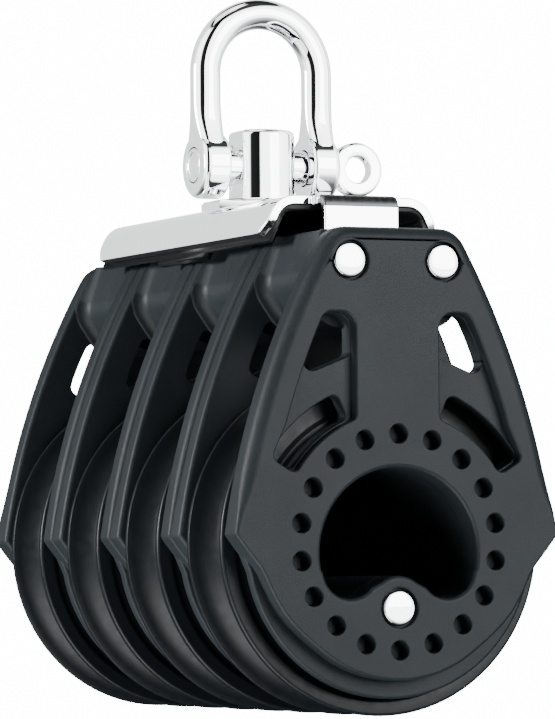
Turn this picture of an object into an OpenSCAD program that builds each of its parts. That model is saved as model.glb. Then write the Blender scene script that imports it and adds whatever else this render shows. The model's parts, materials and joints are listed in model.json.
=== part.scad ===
// Four-sheave ball-bearing block with a swivel head and a bow shackle.
// Origin: the point inside the shackle's crown that the block hangs from.
// Z points up, Y runs along the sheave axle, X runs across the cheeks.

/* [Sheaves] */
// Sheave diameter over the flanges
sheave_d = 57; // [54:0.5:60]
// Sheave width over the flanges
sheave_w = 15; // [14:0.5:17]
// Width of each rim beside the line groove
rim_lip = 1.3; // [1:0.1:2]
// Depth of the line groove
groove_depth = 5.3; // [4.5:0.1:5.8]
// Depth of the dish in each side of a sheave
dish_depth = 0.6; // [0.3:0.1:1]
// Gap between a sheave and the cheek beside it
side_gap = 1.75; // [1.4:0.05:2.2]
// Running gap between a sheave's side and the thrust ring
thrust_gap = 0.3; // [0.2:0.05:0.6]

/* [Ball bearings] */
// Ball diameter
ball_d = 4; // [3.2:0.1:4]
// Wall between the line groove and the ball race
race_wall = 3.5; // [3:0.1:4]
// Smallest gap between two balls of a row
ball_gap = 0.6; // [0.1:0.1:1.5]
// Distance of each row from the middle of the sheave
row_offset = 3; // [2.3:0.1:4]
// Clearance between a ball and its races
ball_clear = 0.05; // [0.02:0.01:0.1]

/* [Cheeks] */
// Thickness of a cheek
plate_t = 4.4; // [4:0.1:5.5]
// Extra thickness of the two outer cheeks
face_rise = 1; // [0.6:0.1:1.6]
// How far the shoulders stop inside the sheave's rim
shoulder_in = 0.1; // [-0.5:0.05:0.5]
// Height of the shoulders above the axle
shoulder_z = 5; // [4:0.5:7]
// Half the cheek's width at its top, before the corners are rounded
crown_w = 11.3; // [10.5:0.1:12.5]
// How far each long side bows outwards
side_bow = 2.24; // [1.5:0.05:3]
// Radius of the two top corners
crown_r = 5; // [3:0.5:6]
// Width of the solid rim outside the pockets
rim_w = 5; // [4.4:0.1:5.6]
// How far the lower edge of the raised face lies outside the ball race
boss_lip = 2.4; // [1.8:0.1:3]
// Drop of that edge's centre below the axle
boss_drop = 0.5; // [0:0.1:1]
// How far the thin lower flange stops inside the sheave's rim
skirt_in = 2.9; // [2:0.1:3.5]
// Thickness of the thin lower flange
skirt_t = 2.2; // [1.6:0.1:3]
// Rounding of the outer cheeks' front edge
face_edge_r = 2.4; // [1:0.1:3]
// Rounding of the edges where two cheeks stand back to back
rib_edge_r = 1.5; // [0.8:0.1:2]

/* [Openings in the cheeks] */
// Difference between the hub's radius and the radius of its opening
hub_wall = 1.53; // [1.4:0.01:2.5]
// Drop of the hub opening's centre below the axle
hub_hole_drop = 1.9; // [1.5:0.1:2]
// Radius of the hub opening's two lower lobes
lobe_r = 4.8; // [4.2:0.1:5]
// Wall of the hub outside each lobe
lobe_wall = 1.03; // [0.8:0.01:2]
// Angle of each lobe's centre below the horizontal
lobe_angle = 27.1; // [24:0.1:32]
// Depth of the pockets in the outer faces
pocket_depth = 2; // [1:0.1:2.6]
// Distance of the pockets from the middle
pocket_x = 7.5; // [7:0.1:8.5]
// Distance of the curved slots outside the ball race
slot_rim = 1.7; // [1.2:0.1:2.2]
// Width of the curved slots
slot_w = 4.9; // [4:0.1:5.4]
// Height of the bar's inner end below the top of the pockets
window_h = 7.1; // [6:0.1:9]
// Drop of the bar from its inner to its outer end
bar_slope = 3.8; // [2:0.1:5]
// Number of blind holes round the hub
pip_count = 18; // [9:1:20]
// Diameter of the blind holes
pip_d = 3.2; // [2:0.1:3.4]
// Depth of the blind holes
pip_depth = 3; // [1:0.1:3.6]

/* [Rivets] */
// Shank diameter
rivet_d = 4; // [3:0.1:4.4]
// Head diameter
rivet_head_d = 5.8; // [5:0.1:6.2]
// Head thickness
rivet_head_t = 1.2; // [0.8:0.1:1.4]
// Gap between a rivet head and the wall of its recess
recess_gap = 0.45; // [0.3:0.05:0.6]
// Clearance between a shank and its hole
rivet_clear = 0.05; // [0.02:0.01:0.1]
// Distance of the upper rivets inside the cheeks' top corners
rivet_in = 2.91; // [2.5:0.01:3.5]
// Depth of the upper rivets below the top of the cheeks
rivet_down = 5.56; // [5:0.05:6.5]
// Distance of the hub rivet inside the hub's rim
hub_rivet_in = 4.86; // [4.6:0.02:5.4]
// Radius of the boss round the hub rivet
hub_rivet_boss_r = 5.26; // [4.4:0.05:5.4]

/* [Spacers] */
// Room for the line between a sheave and the spacer above it
line_room = 8.8; // [7:0.1:11]
// Height of the spacer blocks
spacer_h = 14.2; // [13:0.1:16]
// How far the spacer's widest part stands outside the cheeks' top corners
spacer_out = 2.1; // [1.5:0.1:2.4]
// Flare where a spacer meets its cheek
spacer_flare = 1.5; // [0.8:0.1:2]

/* [Head plate] */
// Thickness of the bent sheet
sheet_t = 1.6; // [1.2:0.1:2]
// Height of the head plate above the cheeks
head_rise = 6.3; // [6:0.1:8]
// How far the long bends lie inside the cheeks' top corners
bend_in = 0.6; // [0:0.1:1]
// How far each skirt reaches outwards
skirt_out = 5.6; // [5:0.1:6.5]
// How far each skirt reaches down
skirt_down = 6.4; // [5:0.1:6.6]
// Outside radius of the bends
bend_r = 3; // [2.2:0.1:4]
// Distance from each end of the flat top to the middle of its tab
tab_reach = 1.95; // [1.8:0.05:2.6]
// How much shorter each end of the skirts is at its foot
skirt_slant = 3.5; // [1:0.1:5]
// Width of the end tabs above the cheeks
tab_w = 13.9; // [12:0.1:14.5]
// Length of the saddle under the swivel
saddle_l = 20; // [16:0.5:26]
// How far the saddle shows below the skirts
saddle_show = 1.3; // [0.5:0.1:2]

/* [Swivel] */
// Clearance between the shackle's ears and the eight-sided base
ear_room = 0.3; // [0.2:0.1:1.5]
// Diameter of the post's head
post_d = 13; // [12:0.1:14]
// Depth of each of the post's two flats
flat_cut = 0.9; // [0.4:0.1:1.4]
// Height of the post's top above the pin
post_top = 6.8; // [5:0.1:8]
// Diameter of the post's shank
shank_d = 7; // [6:0.1:8]
// Running clearance of the shank in the head plate
shank_clear = 0.05; // [0.02:0.01:0.1]
// Width across the corners of the eight-sided base
base_d = 22.6; // [20:0.2:24]
// Height of the eight-sided base
base_h = 1.4; // [1:0.1:1.5]
// Thickness of the bearing washer
washer_t = 0.4; // [0.2:0.1:0.5]
// Room between the retaining nut and the cheeks
nut_room = 0.75; // [0.4:0.05:1.2]
// Diameter of the retaining nut
nut_d = 11; // [9:0.1:13]

/* [Shackle] */
// Diameter of the bow's wire
wire_d = 5.2; // [4.8:0.1:5.6]
// Distance from the pin's axis to the bow's inside crown
bow_reach = 24.05; // [20:0.05:28]
// Distance of each leg's centre line outside the inner face of its ear
leg_out = 1.8; // [1.5:0.1:2.3]
// Pin diameter
pin_d = 6; // [5.6:0.1:6.4]
// Clearance of the pin in the post and in the ears
pin_clear = 0.05; // [0.02:0.01:0.1]
// Ear diameter
ear_d = 11.6; // [10:0.1:11.6]
// Ear thickness
ear_t = 4.2; // [3.6:0.1:4.6]
// Distance from the middle to each ear's inner face
ear_x = 8.7; // [8.4:0.1:9]
// Diameter of the pin's eye
eye_d = 9.6; // [9:0.1:11]
// Diameter of the hole in the pin's eye
eye_hole_d = 4.6; // [3:0.1:5]
// Thickness of the pin's eye
eye_t = 2.5; // [2:0.1:3.5]

/* [Hidden] */
$fn = 72;

// Colours
steel = [0.8, 0.81, 0.82];
nylon = [0.1, 0.11, 0.12];
gloss_black = [0.05, 0.05, 0.06];
acetal = [0.85, 0.85, 0.82];

// Small overlap of solids that are fused into one piece
fuse = 0.2;
// Overshoot of a cutting tool past the face it cuts
over = 1;
// Steps in a quarter round and in a long side
corner_steps = 4;
side_steps = 7;

// Small running gap between nested pieces, and between a nut and its thread
slip = 0.02;

// Spacing of the bays along the axle
gap_half = sheave_w / 2 + side_gap;
pitch = 2 * (gap_half + plate_t);
face_y = gap_half + plate_t + face_rise;
total_half = 1.5 * pitch + face_y;

// Heights above the axle
sheave_r = sheave_d / 2;
spacer_z = sheave_r + line_room;
crown_z = spacer_z + spacer_h;
head_z = crown_z + head_rise;
saddle_z = head_z - 2 * sheet_t;
washer_z = head_z + washer_t;
base_z = washer_z + base_h;
pin_z = base_z + ear_room + ear_d / 2;
axle_z = -(pin_z + bow_reach);
rivet_z = crown_z - rivet_down;

// Distances from the middle
shoulder_w = sheave_r - shoulder_in;
rivet_x = crown_w - rivet_in;
spacer_w = crown_w + spacer_out;
bend_w = crown_w - bend_in;
leg_x = ear_x + leg_out;
post_flats = post_d - 2 * flat_cut;

// Circle that each long side of a cheek follows
side_chord = norm([shoulder_w - crown_w, crown_z - shoulder_z]);
side_r = pow(side_chord, 2) / (8 * side_bow) + side_bow / 2;
side_normal = [crown_z - shoulder_z, shoulder_w - crown_w] / side_chord;
side_centre = [(shoulder_w + crown_w) / 2, (crown_z + shoulder_z) / 2]
    + side_normal * (side_bow - side_r);

// Sheave and its bearing
groove_w = sheave_w - 2 * rim_lip;
bore_r = sheave_r - groove_depth - race_wall;
ball_ring_r = bore_r - ball_clear - ball_d / 2;
balls_in_row = floor(2 * PI * ball_ring_r / (ball_d + ball_gap));
hub_r = ball_ring_r - ball_d / 2 - ball_clear;
thrust_r = bore_r + 1.8;
pip_ring_r = ball_ring_r;

// Lower edges of the cheeks and the opening in the hub
boss_r = bore_r + boss_lip;
skirt_r = sheave_r - skirt_in;
hub_hole_r = hub_r - hub_wall;
lobe_x = (hub_r - lobe_r - lobe_wall) * cos(lobe_angle);
lobe_drop = (hub_r - lobe_r - lobe_wall) * sin(lobe_angle);
hub_rivet_drop = hub_r - hub_rivet_in;

// Head
bend_angle = atan2(skirt_down, skirt_out);
tab_y = 1.5 * pitch;
head_half_l = tab_y - tab_reach;
nut_gap = 0.15;
nut_z = saddle_z - nut_gap;
nut_t = nut_z - crown_z - nut_room;
tab_foot_w = rivet_x + 2.9;
tab_clear = 0.05;

// Point on the circle with centre c and radius r at angle a
function on_circle(c, r, a) = c + r * [cos(a), sin(a)];

// X of a cheek's long side, moved inwards by e, at height z
function side_x(z, e = 0) =
    side_centre.x + sqrt(pow(side_r - e, 2) - pow(z - side_centre.y, 2));

function unit(v) = v / norm(v);

// Points of a round corner of radius r at q, between p and s
function corner(p, q, s, r) =
    let (u = unit(p - q))
    let (v = unit(s - q))
    let (half = acos(u * v) / 2)
    let (c = q + unit(u + v) * (r / sin(half)))
    let (a = q + u * (r / tan(half)) - c)
    let (b = q + v * (r / tan(half)) - c)
    let (turn = atan2(a.x * b.y - a.y * b.x, a * b))
    [for (i = [0:corner_steps]) on_circle(c, r, atan2(a.y, a.x) + turn * i / corner_steps)];

function flat(p) = [p[0], p[1]];

// Outline through points [x, z, r], with each corner rounded by its own r
function rounded(pts) =
    let (n = len(pts))
    [for (i = [0:n - 1])
        each pts[i][2] > 0
            ? corner(flat(pts[(i + n - 1) % n]), flat(pts[i]), flat(pts[(i + 1) % n]), pts[i][2])
            : [flat(pts[i])]
    ];

// Right-hand points followed by the same points mirrored, so that the outline closes
function both_sides(pts) =
    concat(pts, [for (i = [len(pts) - 1:-1:0]) [-pts[i][0], pts[i][1], pts[i][2]]]);

// Turns an outline drawn in X and Z into a plate from y, t thick towards -Y
module plate(y, t) {
    translate([0, y, 0])
        rotate([90, 0, 0])
            linear_extrude(t)
                children();
}

// Turns a profile drawn in radius and Y into a ring round the axle
module ring(y) {
    translate([0, y, 0])
        rotate([-90, 0, 0])
            rotate_extrude()
                children();
}

// Rod along Y from y0 to y1
module rod_y(r, y0, y1) {
    translate([0, y0, 0])
        rotate([-90, 0, 0])
            cylinder(r = r, h = y1 - y0);
}

// Rod along X from x0 to x1
module rod_x(r, x0, x1) {
    translate([x0, 0, 0])
        rotate([0, 90, 0])
            cylinder(r = r, h = x1 - x0);
}

module on_both_sides() {
    children();
    mirror([1, 0, 0])
        children();
}

module at_axle() {
    translate([0, 0, axle_z])
        children();
}

module at_bay(bay) {
    translate([0, (bay - 2.5) * pitch, axle_z])
        children();
}

// How far in, and how deep, a rounding of radius r is at angle a
function round_inset(r, a) = r * (1 - sin(a));
function round_depth(r, a) = r * (1 - cos(a));

// Slab of the outline given as a child, with its two faces' edges rounded
module soft_slab(y, t, front_r, back_r) {
    slice = 0.15;
    hull()
        for (a = [0:45:90]) {
            plate(y - round_depth(back_r, a), slice)
                offset(delta = -round_inset(back_r, a))
                    children();
            plate(y - t + round_depth(front_r, a) + slice, slice)
                offset(delta = -round_inset(front_r, a))
                    children();
        }
}

// Upper part of a cheek, above the line where its shoulders turn in
module upper_outline() {
    step = (crown_z - shoulder_z) / side_steps;
    shoulder_foot = boss_r * sin(7);
    polygon(rounded(both_sides(concat(
        [[boss_r + 0.5, -shoulder_foot, 0], [side_x(shoulder_z - 3.2), shoulder_z - 3.2, 1.5]],
        [for (i = [0:side_steps - 1]) [side_x(shoulder_z + i * step), shoulder_z + i * step, 0]],
        [[crown_w, crown_z, crown_r]]
    ))));
}

// Thin horn that carries the lower flange up into each shoulder
module horn_outline() {
    tip_x = skirt_r + 1.2;
    polygon(rounded([
        [boss_r, shoulder_z, 0],
        [boss_r, -shoulder_z, 0],
        [sqrt(pow(skirt_r, 2) - pow(shoulder_z, 2)) - 0.1, -shoulder_z, 0],
        [tip_x, -1.1, 0.5],
        [side_x(shoulder_z) - 0.4, shoulder_z, 0]
    ]));
}

// Hub opening: a circle with two lobes below, either side of the rivet boss
module hub_opening() {
    difference() {
        union() {
            intersection() {
                translate([0, -hub_hole_drop])
                    circle(hub_hole_r);
                translate([-hub_hole_r, -lobe_drop])
                    square(2 * hub_hole_r);
            }
            for (x = [-lobe_x, lobe_x])
                translate([x, -lobe_drop])
                    circle(lobe_r);
            translate([-lobe_x, -lobe_drop - 0.6 * lobe_r])
                square([2 * lobe_x, lobe_r]);
        }
        translate([0, -hub_rivet_drop])
            circle(hub_rivet_boss_r);
    }
}

// Heights and angles that the openings above the hub share
hole_top = spacer_z + 0.2;
bar_z = hole_top - window_h;
slot_r = bore_r + slot_rim;
slot_out = slot_r + slot_w;
slot_low = 31;
slot_high = acos((pocket_x + 0.7) / slot_r);
pocket_high = acos(pocket_x / slot_r);
pocket_low = on_circle([0, 0], slot_out, slot_low).y;

// Pocket beside the middle strap, following the rim and the bearing
module pocket_outline() {
    foot = on_circle([0, 0], slot_r, slot_low);
    toe = on_circle([0, 0], slot_out, slot_low);
    polygon(rounded(concat(
        [[pocket_x, hole_top, 2.6], [side_x(hole_top, rim_w), hole_top, 2.2]],
        [for (i = [1:3])
            let (z = hole_top + (pocket_low - hole_top) * i / 4)
            [side_x(z, rim_w), z, 0]],
        [[toe.x, toe.y, 1.5], [foot.x, foot.y, 1.3]],
        [for (i = [1:4]) concat(on_circle([0, 0], slot_r, slot_low + (pocket_high - slot_low) * i / 5), 0)],
        [[pocket_x, sqrt(pow(slot_r, 2) - pow(pocket_x, 2)), 1.2]]
    )));
}

// Through hole in the upper part of the pocket
module window_outline() {
    foot_z = bar_z - bar_slope;
    mid_z = (hole_top + foot_z) / 2;
    polygon(rounded([
        [pocket_x, hole_top, 2.6],
        [side_x(hole_top, rim_w), hole_top, 2.2],
        [side_x(mid_z, rim_w), mid_z, 0],
        [side_x(foot_z, rim_w), foot_z, 1.6],
        [pocket_x, bar_z, 1.2]
    ]));
}

// Through slot that curves round the bearing
module slot_outline() {
    span = slot_high - slot_low;
    polygon(rounded([
        for (i = [0:4]) concat(on_circle([0, 0], slot_r, slot_low + span * i / 4), i % 4 == 0 ? 1.2 : 0),
        for (i = [4:-1:0]) concat(on_circle([0, 0], slot_out, slot_low + span * i / 4), i % 4 == 0 ? 1.4 : 0)
    ]));
}

// Spacer block at the head of a cheek
module spacer_outline() {
    polygon(rounded(both_sides([
        [spacer_w - 3.9, spacer_z, 4],
        [spacer_w, spacer_z + 5.6, 4],
        [crown_w - 0.7, crown_z - 0.2, 0.8]
    ])));
}

// Outline of an end tab: a neck above the cheeks, and a foot that the rivets pass through
module tab_outline() {
    polygon(rounded(both_sides([
        [tab_foot_w, rivet_z - 3.6, 2.4],
        [tab_foot_w, crown_z - 2.4, 1],
        [tab_w / 2, crown_z - 0.6, 0],
        [tab_w / 2, head_z - bend_r, 0]
    ])));
}

// One cheek of a bay, on the side towards -Y, with half of the spacer
module cheek(outer, tab) {
    t = outer ? plate_t + face_rise : plate_t;
    front = -gap_half - t;
    difference() {
        union() {
            soft_slab(-gap_half, t, outer ? face_edge_r : rib_edge_r, 0.8)
                upper_outline();
            translate([0, 0, -boss_drop])
                ring(front)
                    polygon([[0, 0], [boss_r - 0.9, 0], [boss_r, 0.9], [boss_r, t], [0, t]]);
            rod_y(skirt_r, -gap_half - skirt_t, -gap_half);
            on_both_sides()
                plate(-gap_half, skirt_t)
                    horn_outline();
            rod_y(thrust_r, -gap_half - fuse, -sheave_w / 2 - thrust_gap);
            plate(0, gap_half + fuse)
                spacer_outline();
            spacer_root();
        }
        plate(over, gap_half + t + 2 * over)
            hub_opening();
        rod_y(hub_r + 0.1, -gap_half, over);
        on_both_sides() {
            plate(over - gap_half, t + 2 * over)
                window_outline();
            plate(over - gap_half, t + 2 * over)
                slot_outline();
            translate([rivet_x, 0, rivet_z])
                rod_y(rivet_d / 2 + rivet_clear, front - over, over);
        }
        translate([0, 0, -hub_rivet_drop])
            rod_y(rivet_d / 2 + rivet_clear, front - over, over);
        if (outer)
            face_cuts(front);
        if (tab)
            plate(over, sheet_t / 2 + tab_clear + over)
                offset(delta = tab_clear)
                    tab_outline();
    }
}

// Flared foot of a spacer where it runs into its cheek, kept inside the cheek's outline
module spacer_root() {
    slice = 0.15;
    intersection() {
        hull() {
            plate(-gap_half, slice)
                offset(delta = spacer_flare)
                    spacer_outline();
            plate(-gap_half + spacer_flare * 1.4, slice)
                spacer_outline();
        }
        plate(0, gap_half + over)
            offset(delta = -0.3)
                upper_outline();
    }
}

// Everything that is sunk into an outer cheek's face
module face_cuts(front) {
    on_both_sides() {
        plate(front + pocket_depth, pocket_depth + over)
            pocket_outline();
        translate([rivet_x, 0, rivet_z])
            rivet_recess(front);
    }
    translate([0, 0, -hub_rivet_drop])
        rivet_recess(front);
    for (i = [0:pip_count - 1])
        rotate([0, i * 360 / pip_count, 0])
            translate([0, 0, pip_ring_r])
                rod_y(pip_d / 2, front - over, front + pip_depth);
}

module rivet_recess(front) {
    rod_y(rivet_head_d / 2 + recess_gap, front - over, front + rivet_head_t);
}

// Cheek on either side of a bay
module bay_cheek(bay, back) {
    outer = back ? bay == 4 : bay == 1;
    tab = bay == 1 || bay == 4;
    color(nylon)
        at_bay(bay)
            mirror([0, back ? 1 : 0, 0])
                cheek(outer, tab);
}

// Fixed hub that carries the balls of one sheave
module hub(bay) {
    color(nylon)
        at_bay(bay)
            difference() {
                rod_y(hub_r, -gap_half, gap_half);
                plate(gap_half + over, 2 * (gap_half + over))
                    hub_opening();
                translate([0, 0, -hub_rivet_drop])
                    rod_y(rivet_d / 2 + rivet_clear, -gap_half - over, gap_half + over);
            }
}

// Grooved sheave
module sheave(bay) {
    groove_r = (pow(groove_w / 2, 2) + pow(groove_depth, 2)) / (2 * groove_depth);
    half_w = sheave_w / 2;
    tip = 0.5;
    color(gloss_black)
        at_bay(bay)
            ring(0)
                difference() {
                    polygon([
                        [bore_r, -half_w], [thrust_r + 0.5, -half_w],
                        [thrust_r + 1, -half_w + dish_depth], [sheave_r - 3, -half_w + dish_depth],
                        [sheave_r - 2.4, -half_w], [sheave_r - tip, -half_w], [sheave_r, -half_w + tip],
                        [sheave_r, half_w - tip], [sheave_r - tip, half_w], [sheave_r - 2.4, half_w],
                        [sheave_r - 3, half_w - dish_depth], [thrust_r + 1, half_w - dish_depth],
                        [thrust_r + 0.5, half_w], [bore_r, half_w]
                    ]);
                    translate([sheave_r - groove_depth + groove_r, 0])
                        circle(groove_r);
                }
}

// Two rows of bearing balls
module balls(bay) {
    color(acetal)
        at_bay(bay)
            for (row = [-1, 1])
                for (i = [0:balls_in_row - 1])
                    rotate([0, (i + row / 4) * 360 / balls_in_row, 0])
                        translate([ball_ring_r, row * row_offset, 0])
                            sphere(d = ball_d, $fn = 24);
}

// Rivet through all four bays, at x across and z above the axle
module rivet(x, z) {
    seat = total_half - rivet_head_t;
    dome = 0.3;
    color(steel)
        at_axle()
            translate([x, 0, z]) {
                rod_y(rivet_d / 2, -seat - fuse, seat + fuse);
                for (end = [0, 1])
                    mirror([0, end, 0])
                        ring(-total_half)
                            polygon([
                                [0, 0], [rivet_head_d / 2 - 1, 0], [rivet_head_d / 2, dome],
                                [rivet_head_d / 2, rivet_head_t], [0, rivet_head_t]
                            ]);
            }
}

// Cross-section of a sheet bent down at both long sides, sunk by s below the head
function bent_sheet(s, reach) =
    let (k = tan(bend_angle / 2))
    let (along = unit([skirt_out, -skirt_down]))
    let (inward = [along.y, -along.x])
    let (c = [bend_w - s * k, head_z - s])
    let (d = [bend_w - (s + sheet_t) * k, head_z - s - sheet_t])
    let (foot = c + along * reach)
    let (foot_in = foot + inward * sheet_t)
    let (r = bend_r - s)
    let (r_in = max(bend_r - s - sheet_t, 0.1))
    let (outside = [[foot.x, foot.y, 0], [c.x, c.y, max(r, 0.1)]])
    let (inside = [[d.x, d.y, r_in], [foot_in.x, foot_in.y, 0]])
    concat(
        outside,
        [[-c.x, c.y, max(r, 0.1)], [-foot.x, foot.y, 0]],
        [[-foot_in.x, foot_in.y, 0], [-d.x, d.y, r_in]],
        inside
    );

skirt_reach = norm([skirt_out, skirt_down]);

// Stainless head plate with its two skirts and its two end tabs
module head_plate() {
    foot_y = head_half_l - skirt_slant;
    color(steel)
        at_axle()
            difference() {
                union() {
                    intersection() {
                        plate(head_half_l, 2 * head_half_l)
                            polygon(rounded(bent_sheet(0, skirt_reach)));
                        rotate([90, 0, 90])
                            linear_extrude(3 * (bend_w + skirt_out), center = true)
                                polygon(rounded(both_sides([
                                    [foot_y, head_z - skirt_down - over, 0],
                                    [foot_y, head_z - skirt_down + 1.2, 2],
                                    [head_half_l, head_z - 3.2, 2],
                                    [head_half_l, head_z + over, 0]
                                ])));
                    }
                    for (end = [0, 1])
                        mirror([0, end, 0])
                            end_tab();
                }
                translate([0, 0, saddle_z])
                    cylinder(d = shank_d + 2 * shank_clear, h = 4 * sheet_t);
                on_both_sides()
                    translate([rivet_x, 0, rivet_z])
                        rod_y(rivet_d / 2 + rivet_clear, -total_half, total_half);
                for (x = [-1, 1])
                    for (y = [-1, 1])
                        translate([x * (tab_w / 2 + 0.8), y * head_half_l, head_z - 2 * sheet_t])
                            cylinder(r = 0.8, h = 4 * sheet_t);
            }
}

// Tab that bends down from the end of the flat top and is held by the upper rivets
module end_tab() {
    outer_r = tab_y + sheet_t / 2 - head_half_l + 1.2;
    turn_y = -tab_y - sheet_t / 2 + outer_r;
    turn_z = head_z - outer_r;
    plate(-tab_y + sheet_t / 2, sheet_t)
        intersection() {
            tab_outline();
            translate([-tab_foot_w, 0])
                square([2 * tab_foot_w, turn_z]);
        }
    translate([0, turn_y, turn_z])
        rotate([90, 0, 90])
            linear_extrude(tab_w, center = true)
                difference() {
                    circle(outer_r);
                    circle(outer_r - sheet_t);
                    translate([0, -2 * outer_r])
                        square(4 * outer_r);
                    translate([-2 * outer_r, -2 * outer_r])
                        square([4 * outer_r, 2 * outer_r]);
                }
    translate([-tab_w / 2, turn_y, head_z - sheet_t])
        cube([tab_w, 2 * outer_r, sheet_t]);
}

// Short doubler under the swivel, nested inside the head plate
module head_saddle() {
    color(nylon)
        at_axle()
            difference() {
                plate(saddle_l / 2, saddle_l)
                    polygon(rounded(bent_sheet(sheet_t, skirt_reach + saddle_show)));
                translate([0, 0, saddle_z - over])
                    cylinder(d = shank_d + 2 * shank_clear, h = 3 * sheet_t);
            }
}

// Bearing washer between the head plate and the swivel
module swivel_washer() {
    color(acetal)
        at_axle()
            translate([0, 0, head_z])
                difference() {
                    cylinder(d = base_d - 5, h = washer_t);
                    translate([0, 0, -over])
                        cylinder(d = shank_d + 2 * shank_clear, h = washer_t + 2 * over);
                }
}

// Eight-sided base that the post stands on
module swivel_base() {
    color(steel)
        at_axle()
            translate([0, 0, washer_z])
                difference() {
                    rotate(22.5)
                        hull() {
                            cylinder(d = base_d, h = base_h - 0.5, $fn = 8);
                            cylinder(d = base_d - 1.2, h = base_h, $fn = 8);
                        }
                    translate([0, 0, -over])
                        cylinder(d = shank_d + 2 * slip, h = base_h + 2 * over);
                }
}

// Post with two flats, a cross bore for the shackle pin and a shank
module swivel_post() {
    top_z = pin_z + post_top;
    color(steel)
        at_axle()
            difference() {
                union() {
                    intersection() {
                        rotate_extrude()
                            polygon(rounded([
                                [0, base_z, 0], [post_d / 2, base_z, 0],
                                [post_d / 2, top_z, 1.6], [0, top_z + 0.4, 0]
                            ]));
                        translate([-post_flats / 2, -post_d, 0])
                            cube([post_flats, 2 * post_d, 2 * top_z]);
                    }
                    translate([0, 0, nut_z - nut_t])
                        cylinder(d = shank_d, h = base_z - nut_z + nut_t + fuse);
                }
                translate([0, 0, pin_z])
                    rod_x(pin_d / 2 + pin_clear, -post_d, post_d);
            }
}

// Nut that keeps the post in the head
module post_nut() {
    color(steel)
        at_axle()
            translate([0, 0, nut_z - nut_t])
                difference() {
                    rotate_extrude()
                        polygon([[0, 0.3], [nut_d / 2 - 0.5, 0.3], [nut_d / 2, 0.8],
                            [nut_d / 2, nut_t], [0, nut_t]]);
                    translate([0, 0, -over])
                        cylinder(d = shank_d + 2 * slip, h = nut_t + 2 * over);
                }
}

// Bow of the shackle, with its two ears
module shackle_bow() {
    crown_z0 = bow_reach - leg_x + wire_d / 2;
    neck_z = 6.5;
    color(steel)
        translate([0, 0, -bow_reach])
            difference() {
                union() {
                    translate([0, 0, crown_z0])
                        rotate([90, 0, 0])
                            rotate_extrude(angle = 180)
                                translate([leg_x, 0])
                                    circle(d = wire_d);
                    on_both_sides() {
                        translate([leg_x, 0, neck_z])
                            cylinder(d = wire_d, h = crown_z0 - neck_z);
                        rod_x(ear_d / 2, ear_x, ear_x + ear_t);
                        ear_neck(neck_z);
                    }
                }
                rod_x(pin_d / 2 + pin_clear, -2 * leg_x, 2 * leg_x);
            }
}

// Blend from the round leg to the flat ear
module ear_neck(neck_z) {
    hull() {
        translate([leg_x, 0, neck_z + 2.6])
            cylinder(d = wire_d, h = 0.1, $fn = 32);
        translate([leg_x, 0, neck_z - 3])
            cylinder(d = wire_d, h = 0.1, $fn = 32);
        translate([ear_x, -ear_d * 0.4, ear_d * 0.27])
            cube([ear_t, ear_d * 0.8, 0.2]);
    }
}

// Shackle pin with a flat eye at its right-hand end
module shackle_pin() {
    end_x = ear_x + ear_t;
    eye_x = end_x + eye_d / 2 + 0.2;
    color(steel)
        translate([0, 0, -bow_reach])
            difference() {
                union() {
                    rod_x(pin_d / 2, -end_x, end_x);
                    rod_x(eye_t / 2, end_x - fuse, eye_x - eye_hole_d / 2 - 0.4);
                    translate([eye_x, 0, 0])
                        ring(-eye_t / 2)
                            polygon([
                                [0, 0], [eye_d / 2 - 0.6, 0], [eye_d / 2, 0.6],
                                [eye_d / 2, eye_t - 0.6], [eye_d / 2 - 0.6, eye_t], [0, eye_t]
                            ]);
                }
                translate([eye_x, 0, 0])
                    rod_y(eye_hole_d / 2, -eye_t, eye_t);
            }
}

shackle_bow();
shackle_pin();
swivel_post();
swivel_base();
post_nut();
swivel_washer();
head_plate();
head_saddle();
bay_cheek(1, false);  // cheek_1_front
bay_cheek(1, true);  // cheek_1_back
bay_cheek(2, false);  // cheek_2_front
bay_cheek(2, true);  // cheek_2_back
bay_cheek(3, false);  // cheek_3_front
bay_cheek(3, true);  // cheek_3_back
bay_cheek(4, false);  // cheek_4_front
bay_cheek(4, true);  // cheek_4_back
hub(1);  // hub_1
hub(2);  // hub_2
hub(3);  // hub_3
hub(4);  // hub_4
sheave(1);  // sheave_1
sheave(2);  // sheave_2
sheave(3);  // sheave_3
sheave(4);  // sheave_4
balls(1);  // balls_1
balls(2);  // balls_2
balls(3);  // balls_3
balls(4);  // balls_4
rivet(-rivet_x, rivet_z);  // rivet_left
rivet(rivet_x, rivet_z);  // rivet_right
rivet(0, -hub_rivet_drop);  // rivet_hub
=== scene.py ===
"""Dresses a four-sheave block: moulded cheeks, satin sheaves and a polished head with its shackle.

Lengths inside the classes are in millimetres. A Shell turns them into metres when it becomes a mesh.
Sections across the block are drawn from the sheave axle, with x across the cheeks and z up.
"""
import json
import logging
import math
from dataclasses import dataclass, field
from enum import Enum
from typing import Callable, Iterable, Sequence

import bmesh
import bpy
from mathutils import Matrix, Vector
from mathutils.geometry import tessellate_polygon

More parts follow.
